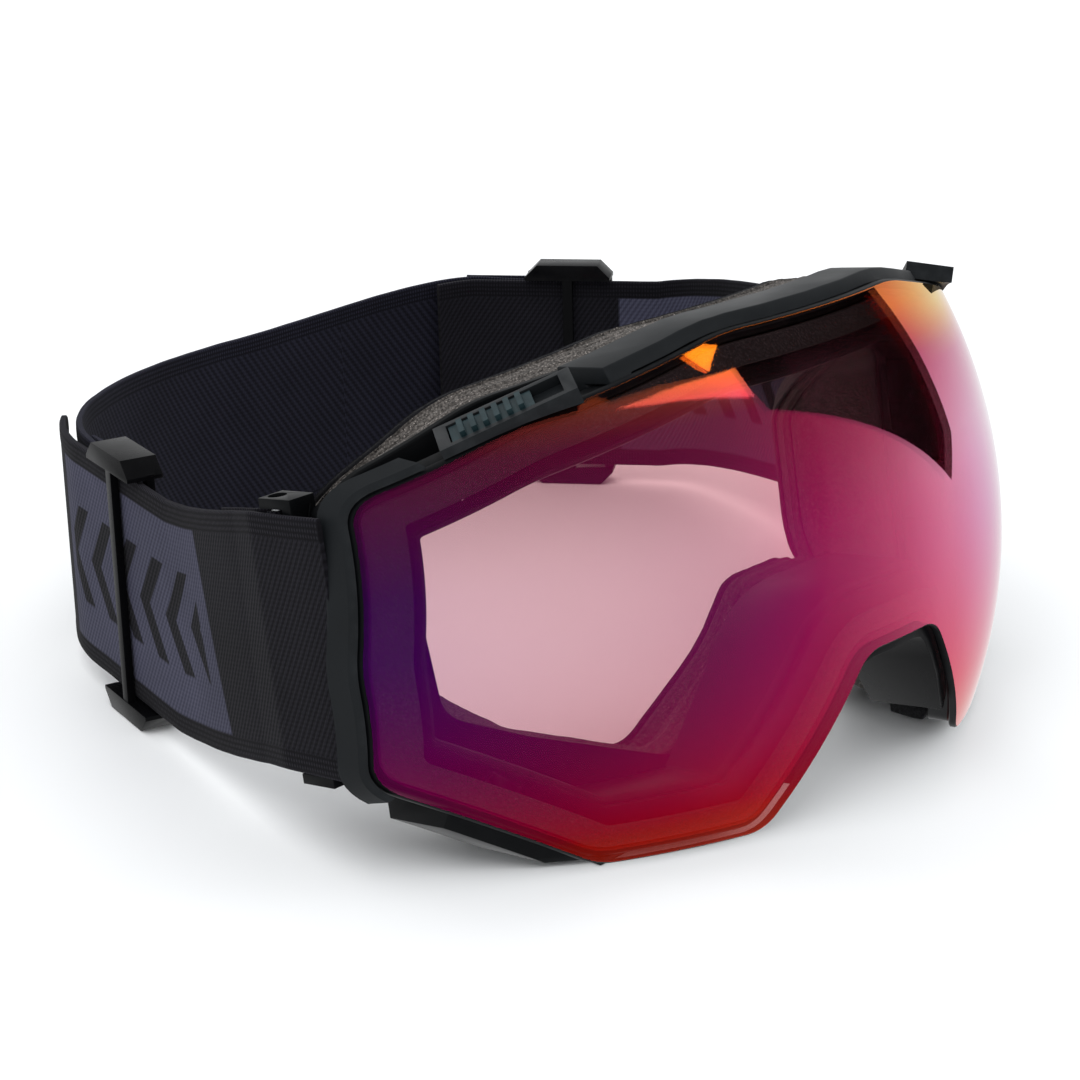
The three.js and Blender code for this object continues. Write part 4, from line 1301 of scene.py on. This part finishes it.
def add_fold(adjuster, path, total):
    """The strap's end: round the adjuster's rear bar and back on itself, sewn."""
    name = adjuster.name

    def at(s, n):
        return adjuster.at(s * MM, n * MM)

    points = [at(s, LAYER_INWARD) for s in (26, 20, 14)]
    for turn in np.linspace(math.radians(90), math.radians(270), 12):
        points.append(at(BAR_SPAN + BAR_TURN * math.cos(turn),
                         BAR_INWARD + BAR_TURN * math.sin(turn)))
    layer = running_length(points)[-1]
    points += eased([at(s, n) for s, n in BAR_LAP])
    rest = stretch(path, JOIN, 1.0)
    before = running_length(points)[-1] + (rest[0] - points[-1]).length
    fine = resampled(points, 0.8 * MM) + rest

    def thick(here):
        full = smoothstep(here, layer + 8 * MM, layer + 16 * MM)
        return REAR_FOLD_THICK + (STRAP - REAR_FOLD_THICK) * full

    # UV runs on from the main strap, so that the weave meets at the join. The left fold's
    # path runs the other way.
    backwards = name == "left"
    start = JOIN - before - (total if backwards else 0)
    fold = webbing("rear_strap_fold_" + name, fine, "strap_rear", None, thick=thick,
                   start=start)
    if backwards:
        for item in fold.data.uv_layers["strap"].data:
            item.uv.x *= -1
    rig.blend(fold, "strap_adjuster_" + name, "frame", adjuster.at(26 * MM),
             adjuster.at(46 * MM))
    rows = [stitch for s in BARTACK_ROWS
            for stitch in sewn_row(at(s, LAYER_INWARD), adjuster.along, 0,
                                   REAR_FOLD_THICK / 2)
            if stitch[2].dot(adjuster.inward) > 0]
    sewing("strap_bartack_stitches_" + name, rows, "thread", "strap_adjuster_" + name)


def add_strap():
    right, left = Adjuster("right"), Adjuster("left")
    first, second = rear_path(right, left)
    near = beside(first[:18], REAR_BAR_INSIDE)
    far = beside(second[::-1][:16], REAR_BAR_INSIDE)
    add_front_strap("right", -1, right, [(-84.2, -21), (-75.7, -2.3)], near[1:])
    add_front_strap("left", 1, left, [(104, 8), (123.5, 43.4)], far[1:])
    add_rear_strap(right, left)
    for side, _ in SIDES:
        softened("strap_bartack_" + side, "thread", 0.15, "strap_adjuster_" + side)


# ---- the model
# The elastic's dark and pale: its own near-black, with painted shade in the weave's hollows and painted light on its
# raised threads.
ELASTIC = ((0.0035, 0.0032, 0.0045), (0.011, 0.0105, 0.0145), PANEL)

add_camera()
add_studio()
LOOKS = {
    "mirror": mirror_lens(),
    "clear": clear_lens(),
    "frame": moulded_plastic("frame_grey", (0.009, 0.0105, 0.012), 0.46, 0.25, 0.1),
    "rim": moulded_plastic("rim_dark", (0.003, 0.0034, 0.004), 0.4, 0.15, 0.05),
    "teal": moulded_plastic("slider_teal", (0.010, 0.024, 0.028), 0.45, 0.2, 0.12),
    "gloss": moulded_plastic("trim_gloss", (0.0025, 0.0025, 0.003), 0.26, 0.08, 0.04),
    "foam": open_foam("face_foam_open_cell", (0.15, 0.135, 0.125), (0.010, 0.009, 0.0085)),
    # A darker copy of the face foam for the opening's inner wall: painted shade.
    "foam_inside": open_foam("face_foam_opening", (0.075, 0.068, 0.064),
                             (0.008, 0.007, 0.007)),
    "vent_foam": open_foam("vent_foam_open_cell", (0.016, 0.016, 0.018),
                           (0.003, 0.003, 0.0035)),
    "fleece": brushed_fleece("face_fleece_black", (0.012, 0.012, 0.014)),
    "steel": metal("brushed_steel", (0.56, 0.57, 0.58), 0.32),
    "magnet": metal("nickel_magnet", (0.66, 0.65, 0.62), 0.22),
    "thread": stitched_thread("black_thread", (0.012, 0.012, 0.016)),
    "strap_right": woven_elastic("strap_elastic_right", *ELASTIC),
    "strap_left": woven_elastic("strap_elastic_left", *ELASTIC),
    "strap_rear": woven_elastic("strap_elastic_rear", (0.0035, 0.0035, 0.006),
                                (0.015, 0.015, 0.026), twill=0.15),
}
add_lens()
add_frame()
add_face_foam()
add_strap()

with open("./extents.json", "w") as out:
    json.dump({"cad": [list(c) for c in CAD_BOX], "visual": [list(c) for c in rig.bounds()]}, out)
